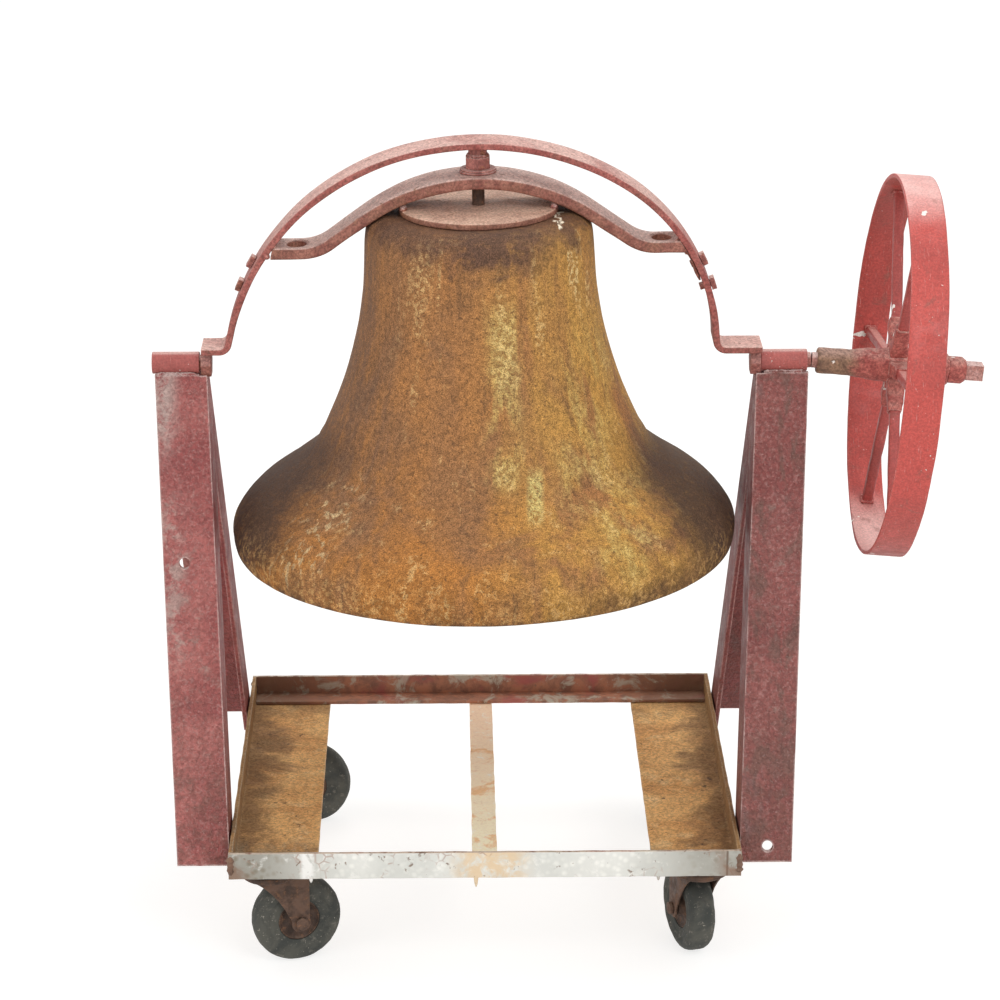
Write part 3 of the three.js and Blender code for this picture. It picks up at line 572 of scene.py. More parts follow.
def deck_finish():
    """Steel plate under golden-brown rust, with dark stains towards its edges and pale scale."""
    f = Finish("deck_rust", specular=0.35)
    x, y = f.xyz[:2]
    across = (x, AXIS.x)
    clouds, mottle, grain = f.noises((9, 5, 0.65, 0.6), (38, 6, 0.7, 0.5), (300, 3, 0.75))
    f.base((clouds, 0.35, 0.62), (0.76, 0.44, 0.165), (0.6, 0.3, 0.098))
    f.over((0.82, 0.6, 0.32), (mottle, 0.5, 0.68), 0.5)
    # Darker at the back, along the outer side and at the front, where water stands.
    drift = f.wander(f.noise(16, 5, 0.65, 0.7), 190)
    away = f.plus(f.away(*across), drift)
    along = f.plus(y, drift)
    outer = f.both(f.ramp((away, 0), 236, 288), 0.74)
    back = f.both(f.ramp((along, 0), 150, 250), 0.55)
    front = f.both(f.ramp((along, 0), -165, -245), 0.6)
    f.over((0.15, 0.078, 0.036), f.either(outer, back, front), (mottle, 0.25, 0.55, 0.7, 1.0))
    f.over((0.2, 0.1, 0.045), (f.noise(48, 5, 0.7, 0.8), 0.56, 0.66), 0.32)  # blots
    front_left = f.both(f.ramp((y, 0), -150, -240), f.ramp(across, 0, -60), (mottle, 0.42, 0.6))
    f.over((0.33, 0.29, 0.205), front_left, 0.6)
    spots = f.both((f.noise(95, 3, 0.6, 0.4), 0.64, 0.71), 0.8)
    f.over((0.075, 0.042, 0.024), spots)
    f.over((0.74, 0.62, 0.47), f.edges(2.2, 0.01, 0.12), 0.7)
    f.speckle(grain, 0.7, 1.26)
    return f.done((mottle, 0.6, 0.88), (mottle, 0.8), (grain, 0.35), (spots, -0.3), metal=0.1)


def bar_finish():
    """The centre bar: pink-orange rust, painted paler and yellower towards the front where light falls past the
    bell, and darker at the back in its shade.
    """
    f = Finish("bar_rust", specular=0.3)
    clouds, mottle, grain = f.noises((20, 5, 0.65, 0.5), (70, 5, 0.7, 0.4), (300, 3, 0.7))
    # Painted light: paler towards the front, darker towards the back under the bell.
    f.base(f.ramp((f.xyz[1], 0), 240, -240), (1.0, 0.72, 0.5), (1.0, 0.9, 0.64))
    f.over((0.88, 0.47, 0.19), (clouds, 0.52, 0.62), 0.75)
    f.over((0.74, 0.44, 0.28), (mottle, 0.58, 0.68), 0.45)
    f.over((1.0, 0.95, 0.84), (mottle, 0.44, 0.3), 0.8)
    f.speckle(grain, 0.94, 1.06, 0.3, 0.7)
    return f.done((mottle, 0.55, 0.85), (mottle, 0.5), (grain, 0.25))


def rail_finish():
    """Galvanised steel: pale zinc outside, rusty red-brown inside, with specks, pits and weld burns."""
    f = Finish("galvanised", specular=0.5)
    x, y, z = f.xyz
    across, height = (x, AXIS.x), (z, AXIS.z)
    clouds, mottle = f.noises((9, 5, 0.6, 0.5), (55, 6, 0.7, 0.4))
    spangle = f.cells(120)
    grain = f.noise(320, 3, 0.7)
    away = f.away(*across)
    ends = f.ramp((away, 0), 150, 285)
    f.base((clouds, 0.35, 0.65), (0.72, 0.715, 0.66), (0.9, 0.885, 0.825))
    f.over((0.22, 0.19, 0.14), ends, (clouds, 0.25, 0.55, 0.5, 1.0))
    f.over((0.5, 0.505, 0.47), (spangle, 0.1, 0.6), 0.35)
    f.over((0.9, 0.88, 0.83), (mottle, 0.55, 0.7), 0.6)
    # A yellow stain in the middle, and rust creeping along fine cracks.
    f.over((0.74, 0.53, 0.3), f.near(across, 6, 22, 58), (mottle, 0.36, 0.58), 0.8)  # stain
    cracks = f.level(f.cells(85, feature="DISTANCE_TO_EDGE"), 0.09, 0.03)
    f.over((0.34, 0.16, 0.1), cracks, (f.noise(15, 4, 0.6, 0.6), 0.54, 0.64), 0.5)  # creep
    f.over((0.92, 0.9, 0.86), f.near(across, -212, 4, 11), (mottle, 0.35, 0.5), 0.8)  # welded
    f.over((0.1, 0.065, 0.045), f.near(across, 289, 0.7, 1.8), 0.8)  # joint
    zinc = f.colour

    f.base((mottle, 0.35, 0.62), (0.22, 0.1, 0.06), (0.44, 0.18, 0.1))
    f.over((0.5, 0.45, 0.35), (f.noise(26, 5, 0.7, 0.7), 0.52, 0.64), 0.8)
    f.over((0.4, 0.085, 0.075), (clouds, 0.5, 0.62), 0.75)
    f.over((0.11, 0.065, 0.035), ends, (mottle, 0.3, 0.55), 0.7)
    rust = f.colour

    inward = f.level(f.both(f.up[1], f.calc("SIGN", y)), -0.3, -0.6)
    top = f.level(f.up[2], 0.4, 0.8)
    f.base(f.either(inward, top), zinc, rust)
    f.over((0.7, 0.62, 0.5), top, f.ramp(height, -540, -530), (mottle, 0.35, 0.55), 0.7)
    f.over(
        (0.23, 0.125, 0.075), f.ramp((away, 0), 265, 302), (f.noise(20, 5, 0.65, 0.8), 0.4, 0.55), 0.8
    )  # burn
    spots = f.both((f.noise(85, 4, 0.6, 0.5), 0.64, 0.7), 0.8)
    f.over((0.2, 0.125, 0.08), spots)
    return f.done((mottle, 0.42, 0.75), (mottle, 0.5), (spots, -0.3), (grain, 0.15), metal=0.1)


def rubber_finish():
    """Hard black rubber gone grey with dust, scuffed on the tread."""
    f = Finish("caster_rubber", specular=0.3)
    clouds, mottle, grain = f.noises((30, 4, 0.6, 0.4), (120, 5, 0.7), (600, 2, 0.7))
    f.base((clouds, 0.35, 0.65), (0.046, 0.049, 0.044), (0.088, 0.086, 0.072))
    f.over((0.19, 0.175, 0.15), (mottle, 0.55, 0.68), 0.6)
    f.over((0.42, 0.38, 0.32), (f.noise(330, 2, 0.5), 0.69, 0.73), 0.7)  # specks
    return f.done((mottle, 0.6, 0.88), (mottle, 0.3), (grain, 0.12))


def iron_finish(name="brown_iron", tone=1.0):
    """Dark brown rusty iron with dust on top."""
    f = Finish(name, specular=0.35)
    clouds, mottle, grain = f.noises((45, 5, 0.65, 0.4), (160, 5, 0.7), (500, 2, 0.7))
    dark, mid = scaled((0.06, 0.036, 0.026), tone), scaled((0.15, 0.085, 0.058), tone)
    f.base((clouds, 0.35, 0.62), dark, mid)
    f.over((0.26, 0.13, 0.07), (mottle, 0.54, 0.68), 0.7)
    f.over((0.24, 0.175, 0.135), (f.up[2], 0.3, 0.95), (clouds, 0.3, 0.6), 0.55)
    f.over((0.32, 0.22, 0.16), f.edges(1.2), (mottle, 0.4, 0.6), 0.5)
    return f.done((mottle, 0.5, 0.85), (clouds, 0.4), (mottle, 0.35), (grain, 0.12), metal=0.15)


BELL_RUST = bell_finish()
ARCH_RED = old_paint(
    "arch_paint", (0.27, 0.066, 0.055), (0.38, 0.125, 0.105), (0.63, 0.405, 0.35), (0.2, 0.085, 0.06),
    dust_and_painted_light=0.6,
)
YOKE_RED = old_paint(
    "yoke_paint", (0.21, 0.07, 0.052), (0.33, 0.14, 0.102), (0.66, 0.48, 0.42), (0.27, 0.13, 0.078), 0.3,
    0.62,
)
BOLT_RED = old_paint(
    "bolt_paint", (0.25, 0.08, 0.066), (0.38, 0.145, 0.12), (0.66, 0.45, 0.4), (0.3, 0.12, 0.06)
)
# The crown plate's pale top is made strong: painted light that lifts it out of the shade of the yoke and strap.
CROWN_RED = old_paint(
    "crown_paint", (0.22, 0.088, 0.058), (0.34, 0.16, 0.11), (0.56, 0.36, 0.265), (0.24, 0.105, 0.055),
    dust_and_painted_light=0.75,
)
SHAFT_PINK = old_paint(
    "shaft_paint", (0.36, 0.155, 0.125), (0.52, 0.29, 0.26), (0.74, 0.56, 0.52), (0.26, 0.13, 0.09),
    dust_and_painted_light=0.5,
)
HUB_RED = hub_finish()
STAND_PAINT = stand_finish()
SLEEVE_RED = wheel_finish("sleeve_paint", (0.4, 0.098, 0.084), (0.6, 0.35, 0.31), (0.2, 0.098, 0.075), 90)
RIM_RED = wheel_finish("bright_red_paint", (0.5, 0.074, 0.06), (0.78, 0.45, 0.41), (0.24, 0.085, 0.065))
SPOKE_RED = wheel_finish("spoke_paint", (0.4, 0.07, 0.06), (0.62, 0.28, 0.24), (0.22, 0.085, 0.065))
DECK_RUST = deck_finish()
BAR_RUST = bar_finish()
GALVANISED = rail_finish()
RUBBER = rubber_finish()
BROWN_IRON = iron_finish()
CORE_IRON = iron_finish("core_iron", 0.75)
WELD_RUST = iron_finish("weld_rust", 1.5)


# --- the bell, its crown plate and clapper ----------------


def at(x, y, z):
    """A point given in millimetres from the middle of the swing axis."""
    return AXIS + Vector((x, y, z)) * MM


# The bell and its yoke hang a little out of true, turned about the swing axis's middle and moved aside.
LEAN_ANGLE, LEAN_SHIFT = math.radians(0.85), -0.8
LEAN = (
    Matrix.Translation(AXIS + Vector((LEAN_SHIFT * MM, 0, 0)))
    @ Matrix.Rotation(-LEAN_ANGLE, 4, "Y")
    @ Matrix.Translation(-AXIS)
)


def leaned(mesh):
    bmesh.ops.transform(mesh, matrix=LEAN, verts=mesh.verts)
    return mesh


def catmull(points, steps):
    """A smooth curve through 2-D points."""
    knots = [Vector(p) for p in points]
    knots = [knots[0]] + knots + [knots[-1]]
    out = []
    for a, b, c, d in zip(knots, knots[1:], knots[2:], knots[3:]):
        for step in range(steps):
            t = step / steps
            square, cube = 2 * a - 5 * b + 4 * c - d, 3 * b - a - 3 * c + d
            out.append(0.5 * (2 * b + (c - a) * t + square * t * t + cube * t**3))
    out.append(knots[-1])
    return out


# The bell's outside as (radius, height above the mouth), its wall and its thick sound bow, in millimetres.
BELL_OUTSIDE = [
    (306, 0), (308.6, 14), (307, 32), (285.8, 60), (250, 86), (230, 101), (209.5, 118), (200.5, 133),
    (191.1, 150), (170, 200), (152, 260), (141.4, 320), (136.8, 388), (131.5, 403), (122.5, 411),
    (114, 414.7),
]
WALL, SOUND_BOW, BOW_HEIGHT, CROWN_THICK, BOLT_HOLE = 9.5, 19, 34, 13, 7.8
MOUTH_Z, CROWN_Z = -225.7, 189


def bell_wall(height):
    return WALL + (SOUND_BOW - WALL) * math.exp(-(((height - BOW_HEIGHT) / BOW_HEIGHT) ** 2))


def make_bell():
    outside = catmull(BELL_OUTSIDE, 9)
    crown = outside[-1].y
    inside_top = crown - CROWN_THICK
    inside = [(p.x - bell_wall(p.y), p.y) for p in outside if p.y < inside_top - 8]
    lip = rounded([(inside[0][0], inside[0][1], 2.5), (306, 0, 3.5), (307.5, 9, 0), (290, 14, 0)], 0, 5)
    lip = [p for p in lip if p.y < 6]
    outline = [(p.x, p.y) for p in lip] + [(p.x, p.y) for p in outside if p.y > 6]
    outline += [(r, crown) for r in (100, 80, 60, 40, 20, BOLT_HOLE)]
    outline += [(r, inside_top) for r in (BOLT_HOLE, 30, 60, 90, inside[-1][0] - 12)]
    outline += [(inside[-1][0] - 4, inside_top - 3)] + [p for p in reversed(inside) if p[1] > 6]
    mesh = turned(outline, 224, at(0, 0, MOUTH_Z))
    rough_surface(mesh, 55, 0.55, 3)
    return rough_surface(mesh, 11, 0.16, 9)


stand_in("bell", leaned(make_bell()), BELL_RUST, smooth=50)


def disc(radius, hole, low, high, edge, segments=96):
    """A round plate with a hole and softened edges, in millimetres about the bell's centre line."""
    corners = [(hole, low, 0.5), (radius, low, edge), (radius, high, edge), (hole, high, 0.5)]
    return turned(rounded(corners, edge, 4), segments, AXIS)


plate = rough_surface(disc(96, BOLT_HOLE, CROWN_Z + 0.3, CROWN_Z + 7.8, 2.2), 30, 0.5, 5)
stand_in("crown_plate", leaned(plate), CROWN_RED)

# Small welds where the yoke touches the crown plate's rim.
for side, where in ((-1, "left"), (1, "right")):
    tack = weld_bead([at(side * 90, y, CROWN_Z + 9) for y in (-30, -22, -14)], 4.2, side * 3.0)
    piece(f"plate_weld_{where}", leaned(tack), "swing", BOLT_RED)


def softened(node, finish, edge=1.0, segments=3, angle=35):
    """A CAD node's shape with its edges rounded."""
    return stand_in(node, bevelled(cad_copy(node), edge * MM, segments, angle), finish)


# The stack over the crown plate, in millimetres: heights are above the swing axis.
YOKE_THICK, YOKE_APEX, ARCH_TOP = 14.4, 229.2, 272.5
WASHER_R, WASHER_THICK, NUT_HEIGHT, STUB_R = 22.4, 4.7, 13.9, 11.2
FACE_GAP = 0.3


def make_washers():
    """Two thin rings, one on the other."""
    low = YOKE_APEX + YOKE_THICK / 2 + FACE_GAP
    high = low + WASHER_THICK
    middle = (low + high) / 2
    lower = disc(WASHER_R, BOLT_HOLE, low, middle - FACE_GAP / 2, 0.7)
    upper = disc(WASHER_R - 0.9, BOLT_HOLE, middle + FACE_GAP / 2, high, 0.7)
    return joined(lower, upper)


stand_in("centre_washer", leaned(make_washers()), BOLT_RED)
for node in ("centre_nut", "arch_stub"):
    softened(node, BOLT_RED)
for node in ("centre_bolt", "hanger_nut", "clapper_hanger", "clapper_pin"):
    softened(node, BROWN_IRON)


def ring_points(radius, z, count=24):
    """Points of a level circle about the bell's centre line, in millimetres; the last meets the first."""
    turns = [2 * math.pi * k / count for k in range(count + 1)]
    return [at(radius * math.cos(a), radius * math.sin(a), z) for a in turns]


stub_low = YOKE_APEX + YOKE_THICK / 2 + WASHER_THICK + NUT_HEIGHT + 3 * FACE_GAP
for where, z in (("lower", stub_low + 1.2), ("upper", ARCH_TOP - 5.6)):
    collar = weld_bead(ring_points(STUB_R + 0.4, z), 1.9, z)
    piece(f"stub_weld_{where}", leaned(collar), "swing", BOLT_RED)


def make_clapper():
    """Eye on the pin, tapering shank, ball and tail, turned and drawn as one forging."""
    pivot, ball_z, ball_r = 138, -172, 34
    eye_low = pivot - 8
    shank = [(11, ball_z + 20), (9.5, -60), (8.2, 40), (7.6, pivot - 22), (8.5, pivot - 12)]
    shank += [(7, eye_low), (0, eye_low)]
    tail = [(0, -216), (10.5, -216), (12, -213), (12, -206)]
    angles = [math.radians(-90 + k * 7.5) for k in range(3, 22)]
    ball = [(ball_r * math.cos(a), ball_z + ball_r * math.sin(a)) for a in angles]
    outline = tail + [p for p in ball if p[0] > 11] + shank
    body = turned(outline, 48, AXIS)
    ring = rounded([(5.6, -8.8), (12, -8.8), (12, 8.8), (5.6, 8.8)], 1.5, 3)
    eye = turned(ring, 40, at(0, 0, pivot), (1, 0, 0))
    return rough_surface(joined(body, eye), 20, 0.4, 4)


stand_in("clapper", leaned(make_clapper()), BROWN_IRON)

# --- the yoke and the strap arch --------------------------

ARCH_THICK, ARCH_WIDTH, FOOT_Z, FOOT_BEND, FOOT_END = 8, 51, 19.7, 12, 339
# Each half of the strap: which side, the crown's radius, the angle it holds for, the haunch's radius.
ARCH_LEFT = (-1, 347.6, math.radians(17.2), 295.1)
ARCH_RIGHT = (1, 326.2, math.radians(31.7), 235.6)
YOKE_R, YOKE_LEAN, YOKE_BEND, YOKE_STRAIGHT, YOKE_END = 235, math.radians(35), 60, 53, 252.5
YOKE_WIDE, YOKE_NARROW, YOKE_WIDE_TO, YOKE_NARROW_FROM = 66, 51, 60, 170
SLOT_X, SLOT_LONG, SLOT_WIDE = 219, 11.5, 15.5


def yoke_line():
    """The right half of the yoke's centre line as (point, normal): arch, shoulder, bend, level end."""
    line = []
    for step in range(25):
        a = YOKE_LEAN * step / 24
        normal = Vector((math.sin(a), math.cos(a)))
        line.append((Vector((0, YOKE_APEX - YOKE_R)) + normal * YOKE_R, normal))
    shoulder, normal = line[-1]
    down = Vector((math.cos(YOKE_LEAN), -math.sin(YOKE_LEAN)))
    for step in range(1, 6):
        line.append((shoulder + down * YOKE_STRAIGHT * step / 6, normal))
    centre = shoulder + down * YOKE_STRAIGHT + normal * YOKE_BEND
    for step in range(13):
        a = YOKE_LEAN * (1 - step / 12)
        up = Vector((math.sin(a), math.cos(a)))
        line.append((centre - up * YOKE_BEND, up))
    level = line[-1][0]
    for x in range(int(level.x) + 5, 236, 5):
        line.append((Vector((x, level.y)), Vector((0, 1))))
    return line


def both_halves(line):
    """A right half of (point, normal) with its mirror image, from left to right."""
    left = [(Vector((-p.x, p.y)), Vector((-n.x, n.y))) for p, n in reversed(line[1:])]
    return left + line


def strap_ring(point, normal, section):
    """A cross-section of (across, out) placed on a line in the x-z plane."""
    return [at(point.x + normal.x * out, across, point.y + normal.y * out) for across, out in section]


def yoke_width(x):
    share = min(1, max(0, (abs(x) - YOKE_WIDE_TO) / (YOKE_NARROW_FROM - YOKE_WIDE_TO)))
    return YOKE_WIDE + (YOKE_NARROW - YOKE_WIDE) * share


def cut_by(mesh, tool):
    """What is left of a closed mesh outside a closed tool."""
    made = []
    for name, part in (("whole", mesh), ("tool", tool)):
        bmesh.ops.recalc_face_normals(part, faces=part.faces)
        made.append(linked(name, part))
    cutter = made[0].modifiers.new("cut", "BOOLEAN")
    cutter.operation = "DIFFERENCE"
    cutter.solver = "EXACT"
    cutter.object = made[1]
    bpy.context.view_layer.update()
    result = bmesh.new()
    result.from_object(made[0], bpy.context.evaluated_depsgraph_get())
    for obj in made:
        data = obj.data
        bpy.data.objects.remove(obj)
        bpy.data.meshes.remove(data)
    return result


def slot_tool(x, z_low, z_high, mouth=3.0):
    """An oval plug whose ends flare, so that the slot it cuts has rounded rims."""
    rings = []
    rims = [(-6, mouth * 2.2), (0, mouth), (mouth * 0.3, mouth * 0.35), (mouth, 0)]
    levels = [(z_low + z, grow) for z, grow in rims] + [(z_high - z, grow) for z, grow in reversed(rims)]
    for z, grow in levels:
        long, wide = SLOT_LONG + grow, SLOT_WIDE + grow
        rings.append([at(x + long * math.cos(a), wide * math.sin(a), z) for a in turns(48)])
    return lofted(rings)


def haunch_centre(half):
    side, crown, turn, haunch = half
    offset = crown - haunch
    return Vector((side * offset * math.sin(turn), ARCH_TOP - crown + offset * math.cos(turn)))


def inside_strap(half, z):
    """How far out the strap's inner face is at a height."""
    side, haunch = half[0], half[3]
    centre = haunch_centre(half)
    inner = haunch - ARCH_THICK / 2 - 0.3
    return centre.x + side * math.sqrt(inner**2 - (z - centre.y) ** 2)


def make_yoke():
    line = both_halves(yoke_line())
    level_z = line[0][0].y
    rings = []
    for point, normal in line:
        section = rounded_bar(yoke_width(point.x), YOKE_THICK, 3.6, 4)
        rings.append([LEAN @ corner for corner in strap_ring(point, normal, section)])
    # The ends are cut square, and trimmed where they meet the strap.
    for end, half in ((0, ARCH_LEFT), (-1, ARCH_RIGHT)):
        fitted = []
        for corner in rings[end]:
            reach = inside_strap(half, (corner.z - AXIS.z) / MM)
            out = math.copysign(min(YOKE_END, abs(reach)), reach)
            fitted.append(Vector((AXIS.x + out * MM, corner.y, corner.z)))
        rings[end] = fitted
    mesh = rough_surface(lofted(rings), 40, 0.7, 2)
    for side in (-1, 1):
        tool = slot_tool(side * SLOT_X, level_z - YOKE_THICK / 2, level_z + YOKE_THICK / 2)
        mesh = cut_by(mesh, leaned(tool))
    # A thin uneven tab runs down inside the strap from the right end.
    centre = haunch_centre(ARCH_RIGHT)
    tab = []
    for step in range(17):
        share = step / 16
        a = math.radians(21 + 15 * share)
        normal = Vector((math.cos(a), math.sin(a)))
        thick = 2.6 + 1.2 * math.sin(share * 9) + 4 * share**4
        middle = centre + normal * (ARCH_RIGHT[3] - ARCH_THICK / 2 - 0.6 - thick / 2)
        tab.append(strap_ring(middle, normal, rounded_bar(34 + 8 * share, thick, 1.3, 3)))
    return joined(mesh, rough_surface(lofted(tab), 22, 0.5, 5.0))


stand_in("yoke", make_yoke(), YOKE_RED, smooth=40)


def strap_half(half):
    """The centre line from the top to the end of the foot, as (point, normal)."""
    side, crown, turn, haunch = half

    def normal_at(from_top):
        return Vector((side * math.sin(from_top), math.cos(from_top)))

    centre = haunch_centre(half)
    foot_turn = math.pi / 2 - math.asin((FOOT_Z + FOOT_BEND - centre.y) / (haunch + FOOT_BEND))
    line = []
    for step in range(25):
        normal = normal_at(turn * step / 24)
        line.append((Vector((0, ARCH_TOP - crown)) + normal * crown, normal))
    for step in range(1, 49):
        normal = normal_at(turn + (foot_turn - turn) * step / 48)
        line.append((centre + normal * haunch, normal))
    bend = centre + normal_at(foot_turn) * (haunch + FOOT_BEND)
    for step in range(1, 11):
        normal = normal_at(foot_turn * (1 - step / 10))
        line.append((bend - normal * FOOT_BEND, normal))
    start = line[-1][0].x
    for share in (0.25, 0.5, 0.75, 1):
        line.append((Vector((start + (side * FOOT_END - start) * share, FOOT_Z)), normal_at(0)))
    return line


def make_strap():
    line = list(reversed(strap_half(ARCH_LEFT)[1:])) + strap_half(ARCH_RIGHT)
    section = rounded_bar(ARCH_WIDTH, ARCH_THICK, 1.9, 3)
    mesh = lofted([strap_ring(point, normal, section) for point, normal in line])
    return rough_surface(mesh, 45, 0.5, 7)


stand_in("arch_strap", make_strap(), ARCH_RED, smooth=40)
for side in ("left", "right"):
    for row in ("upper", "lower"):
        softened(f"strap_bolt_{side}_{row}", BOLT_RED, 0.9)
    softened(f"gudgeon_{side}", BOLT_RED)


def end_weld(half, z, across, radius):
    """A bead across the inside of the strap where the yoke's end meets it."""
    x = inside_strap(half, z) - half[0] * 0.7
    return weld_bead([at(x, y, z) for y in across], radius, half[0] * 2.0 + z)


end_z = yoke_line()[-1][0].y
left_weld = end_weld(ARCH_LEFT, end_z + 3, range(-24, 25, 8), 2.8)
piece("yoke_weld_left", left_weld, "swing", YOKE_RED)
right_weld = end_weld(ARCH_RIGHT, end_z - 3.5, range(-22, 23, 8), 3.6)
piece("yoke_weld_right", right_weld, "swing", YOKE_RED)
end_lump = weld_bead([at(inside_strap(ARCH_LEFT, 139) - 1, y, 139) for y in (-26, -23, -19)], 4.0, 2.0)
piece("yoke_end_lump", end_lump, "swing", ARCH_RED)

# --- the crank shaft and the rope wheel -------------------

DROOP = math.radians(4.5)
NECK_X, WHEEL_X = 401, 504
LINE = Vector((math.cos(DROOP), 0, -math.sin(DROOP)))
LINE_UP = Vector((math.sin(DROOP), 0, math.cos(DROOP)))
BACK = Vector((0, 1, 0))
WHEEL_AT = (WHEEL_X - NECK_X) / math.cos(DROOP)
RIM_R, RIM_BAND, RIM_WIDTH, SPOKES, FIRST_SPOKE = 232.3, 5, 44.4, 6, 36


def on_line(along, back=0.0, up=0.0):
    """A point on the drooping crank line, in millimetres from the bend."""
    return at(NECK_X, 0, 0) + (LINE * along + BACK * back + LINE_UP * up) * MM


def make_rim():
    half = RIM_WIDTH / 2
    inner = RIM_R - RIM_BAND
    corners = [(inner, -half), (RIM_R, -half), (RIM_R, half), (inner, half)]
    ring = rounded(corners, 1.5, 3)
    across = []
    for start, end in zip(ring, ring[1:] + ring[:1]):
        count = 6 if (end - start).length > 20 else 1
        across += [start.lerp(end, k / count) for k in range(count)]
    mesh = turned(across, 176, on_line(WHEEL_AT), LINE)
    rough_surface(mesh, 70, 0.9, 6)
    return rough_surface(mesh, 16, 0.2, 12)


stand_in("wheel_rim", make_rim(), RIM_RED, smooth=45)


def spoke_frame(index):
    """Out from the hub, and round the wheel, for one spoke."""
    a = math.radians(FIRST_SPOKE + 360 / SPOKES * index)
    out = LINE_UP * math.cos(a) + BACK * math.sin(a)
    return out, LINE.cross(out)


def spoke_bar(index, stations, radius, steps=3):
    """A bar along a spoke; each station is (distance out, width along the shaft, thickness round)."""
    out, round_way = spoke_frame(index)
    centre = on_line(WHEEL_AT)
    rings = []
    for distance, wide, thick in stations:
        section = rounded_bar(wide, thick, radius, steps)
        rings.append([centre + (out * distance + LINE * p.x + round_way * p.y) * MM for p in section])
    return lofted(rings)


SPOKE_START, SPOKE_END, SPOKE_WIDE, SPOKE_THICK = 52, RIM_R - RIM_BAND - 0.6, 13, 11
for index in range(SPOKES):
    places = [SPOKE_START + (SPOKE_END - SPOKE_START) * k / 28 for k in range(29)]
    bar = spoke_bar(index, [(place, SPOKE_WIDE, SPOKE_THICK) for place in places], 3.0)
    stand_in(f"spoke_{index + 1}", rough_surface(bar, 26, 0.7, index * 2.0), SPOKE_RED, smooth=40)
    out, round_way = spoke_frame(index)
    corners = [(6.5, 5.5), (6.5, -5.5), (-6.5, -5.5), (-6.5, 5.5), (6.5, 5.5)]
    tip = out * (SPOKE_END - 1.5)
    foot = [on_line(WHEEL_AT) + (tip + LINE * u + round_way * v) * MM for u, v in corners]
    bead = weld_bead(foot, 2.0, index * 1.7)
    piece(f"rim_weld_{index + 1}", bead, "swing", SPOKE_RED)


def make_hub():
    outline = [
        (10, 6.6), (14.4, 6.6), (15.7, 8), (15.7, 30), (16, 45), (17.6, 56), (19.6, 70), (19.9, 82),
        (20.8, 92), (21.4, 103), (20.8, 114), (20, 124), (19.75, 132), (19.75, 164.5), (18.2, 166.5),
        (10, 166.5),
    ]
    dense = []
    for start, end in zip(outline, outline[1:]):
        count = max(1, round(math.dist(start, end) / 3))
        dense += [tuple(Vector(start).lerp(Vector(end), k / count)) for k in range(count)]
    dense.append(outline[-1])
    barrel = turned(dense, 64, on_line(0), LINE)
    rough_surface(barrel, 14, 0.9, 8)
    parts = [barrel]
    for index in range(SPOKES):
        stations = []
        for k in range(25):
            share = k / 24
            wide = 22 - 4 * share + 1.2 * math.sin(share * 9 + index)
            stations.append((10 + 50 * share, wide if k < 24 else wide * 0.9, 18 - 2.5 * share))
        socket = spoke_bar(index, stations, 3.0, 4)
        parts.append(rough_surface(socket, 9, 1.2, index * 4.0 + 1))
    return joined(*parts)


stand_in("wheel_hub", make_hub(), HUB_RED, smooth=50)
softened("hub_collar", HUB_RED)
softened("crank_shaft", SHAFT_PINK)

# --- the legs and sleeves ---------------------------------

for side, toward in (("left", -1), ("right", 1)):
    softened(f"sleeve_{side}", SLEEVE_RED, 1.2)
    for face in ("front", "rear"):
        softened(f"leg_{face}_{side}", STAND_PAINT, 1.3, angle=50)
    low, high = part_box(f"sleeve_{side}")
    for face, sign in (("front", -1), ("rear", 1)):
        start, end = low.x + 4 * MM, high.x - 4 * MM
        y, z = AXIS.y + sign * 10.5 * MM, AXIS.z - 12.5 * MM
        bead = weld_bead(
            [Vector((start + (end - start) * k / 4, y, z)) for k in range(5)], 3.4, toward + sign * 2.0
        )
        piece(f"sleeve_weld_{face}_{side}", bead, "stand", STAND_PAINT)

# --- the tray ---------------------------------------------


def run_of(section, start, end, axis, steps, rough):
    """A section in millimetres carried along x or y between two places, and made slightly uneven."""
    rings = []
    for k in range(steps + 1):
        s = start + (end - start) * k / steps
        rings.append([at(s, p.x, p.y) if axis == "x" else at(p.x, s, p.y) for p in section])
    return rough_surface(lofted(rings), *rough)


TRAY_HALF, TRAY_DEPTH, TRAY_TOP, TRAY_LOW = 306, 275.8, -526.4, -560
RAIL_THICK, LEDGE_WIDE, LEDGE_TOP, LEDGE_LOW = 4.5, 35, -550.2, -554.7
DECK_THICK, DECK_WIDE, DECK_TOP, DECK_HALF, BAR_HALF = 5, 104.6, -555, 271, 15
for name, sign in (("front_rail", -1), ("rear_rail", 1)):
    front = sign * TRAY_DEPTH
    back, near, far = front - sign * RAIL_THICK, front - sign * 1, front - sign * LEDGE_WIDE
    upright = rounded([(front, TRAY_LOW), (front, TRAY_TOP), (back, TRAY_TOP), (back, TRAY_LOW)], 1.2, 3)
    ledge = rounded([(near, LEDGE_LOW), (near, LEDGE_TOP), (far, LEDGE_TOP), (far, LEDGE_LOW)], 1, 2)
    inside = TRAY_HALF - 5.3
    mesh = joined(
        run_of(upright, -TRAY_HALF, TRAY_HALF, "x", 150, (18, 0.45, sign + 3)),
        run_of(ledge, -inside, inside, "x", 120, (20, 0.35, sign + 8)),
    )
    stand_in(name, mesh, GALVANISED, smooth=40)

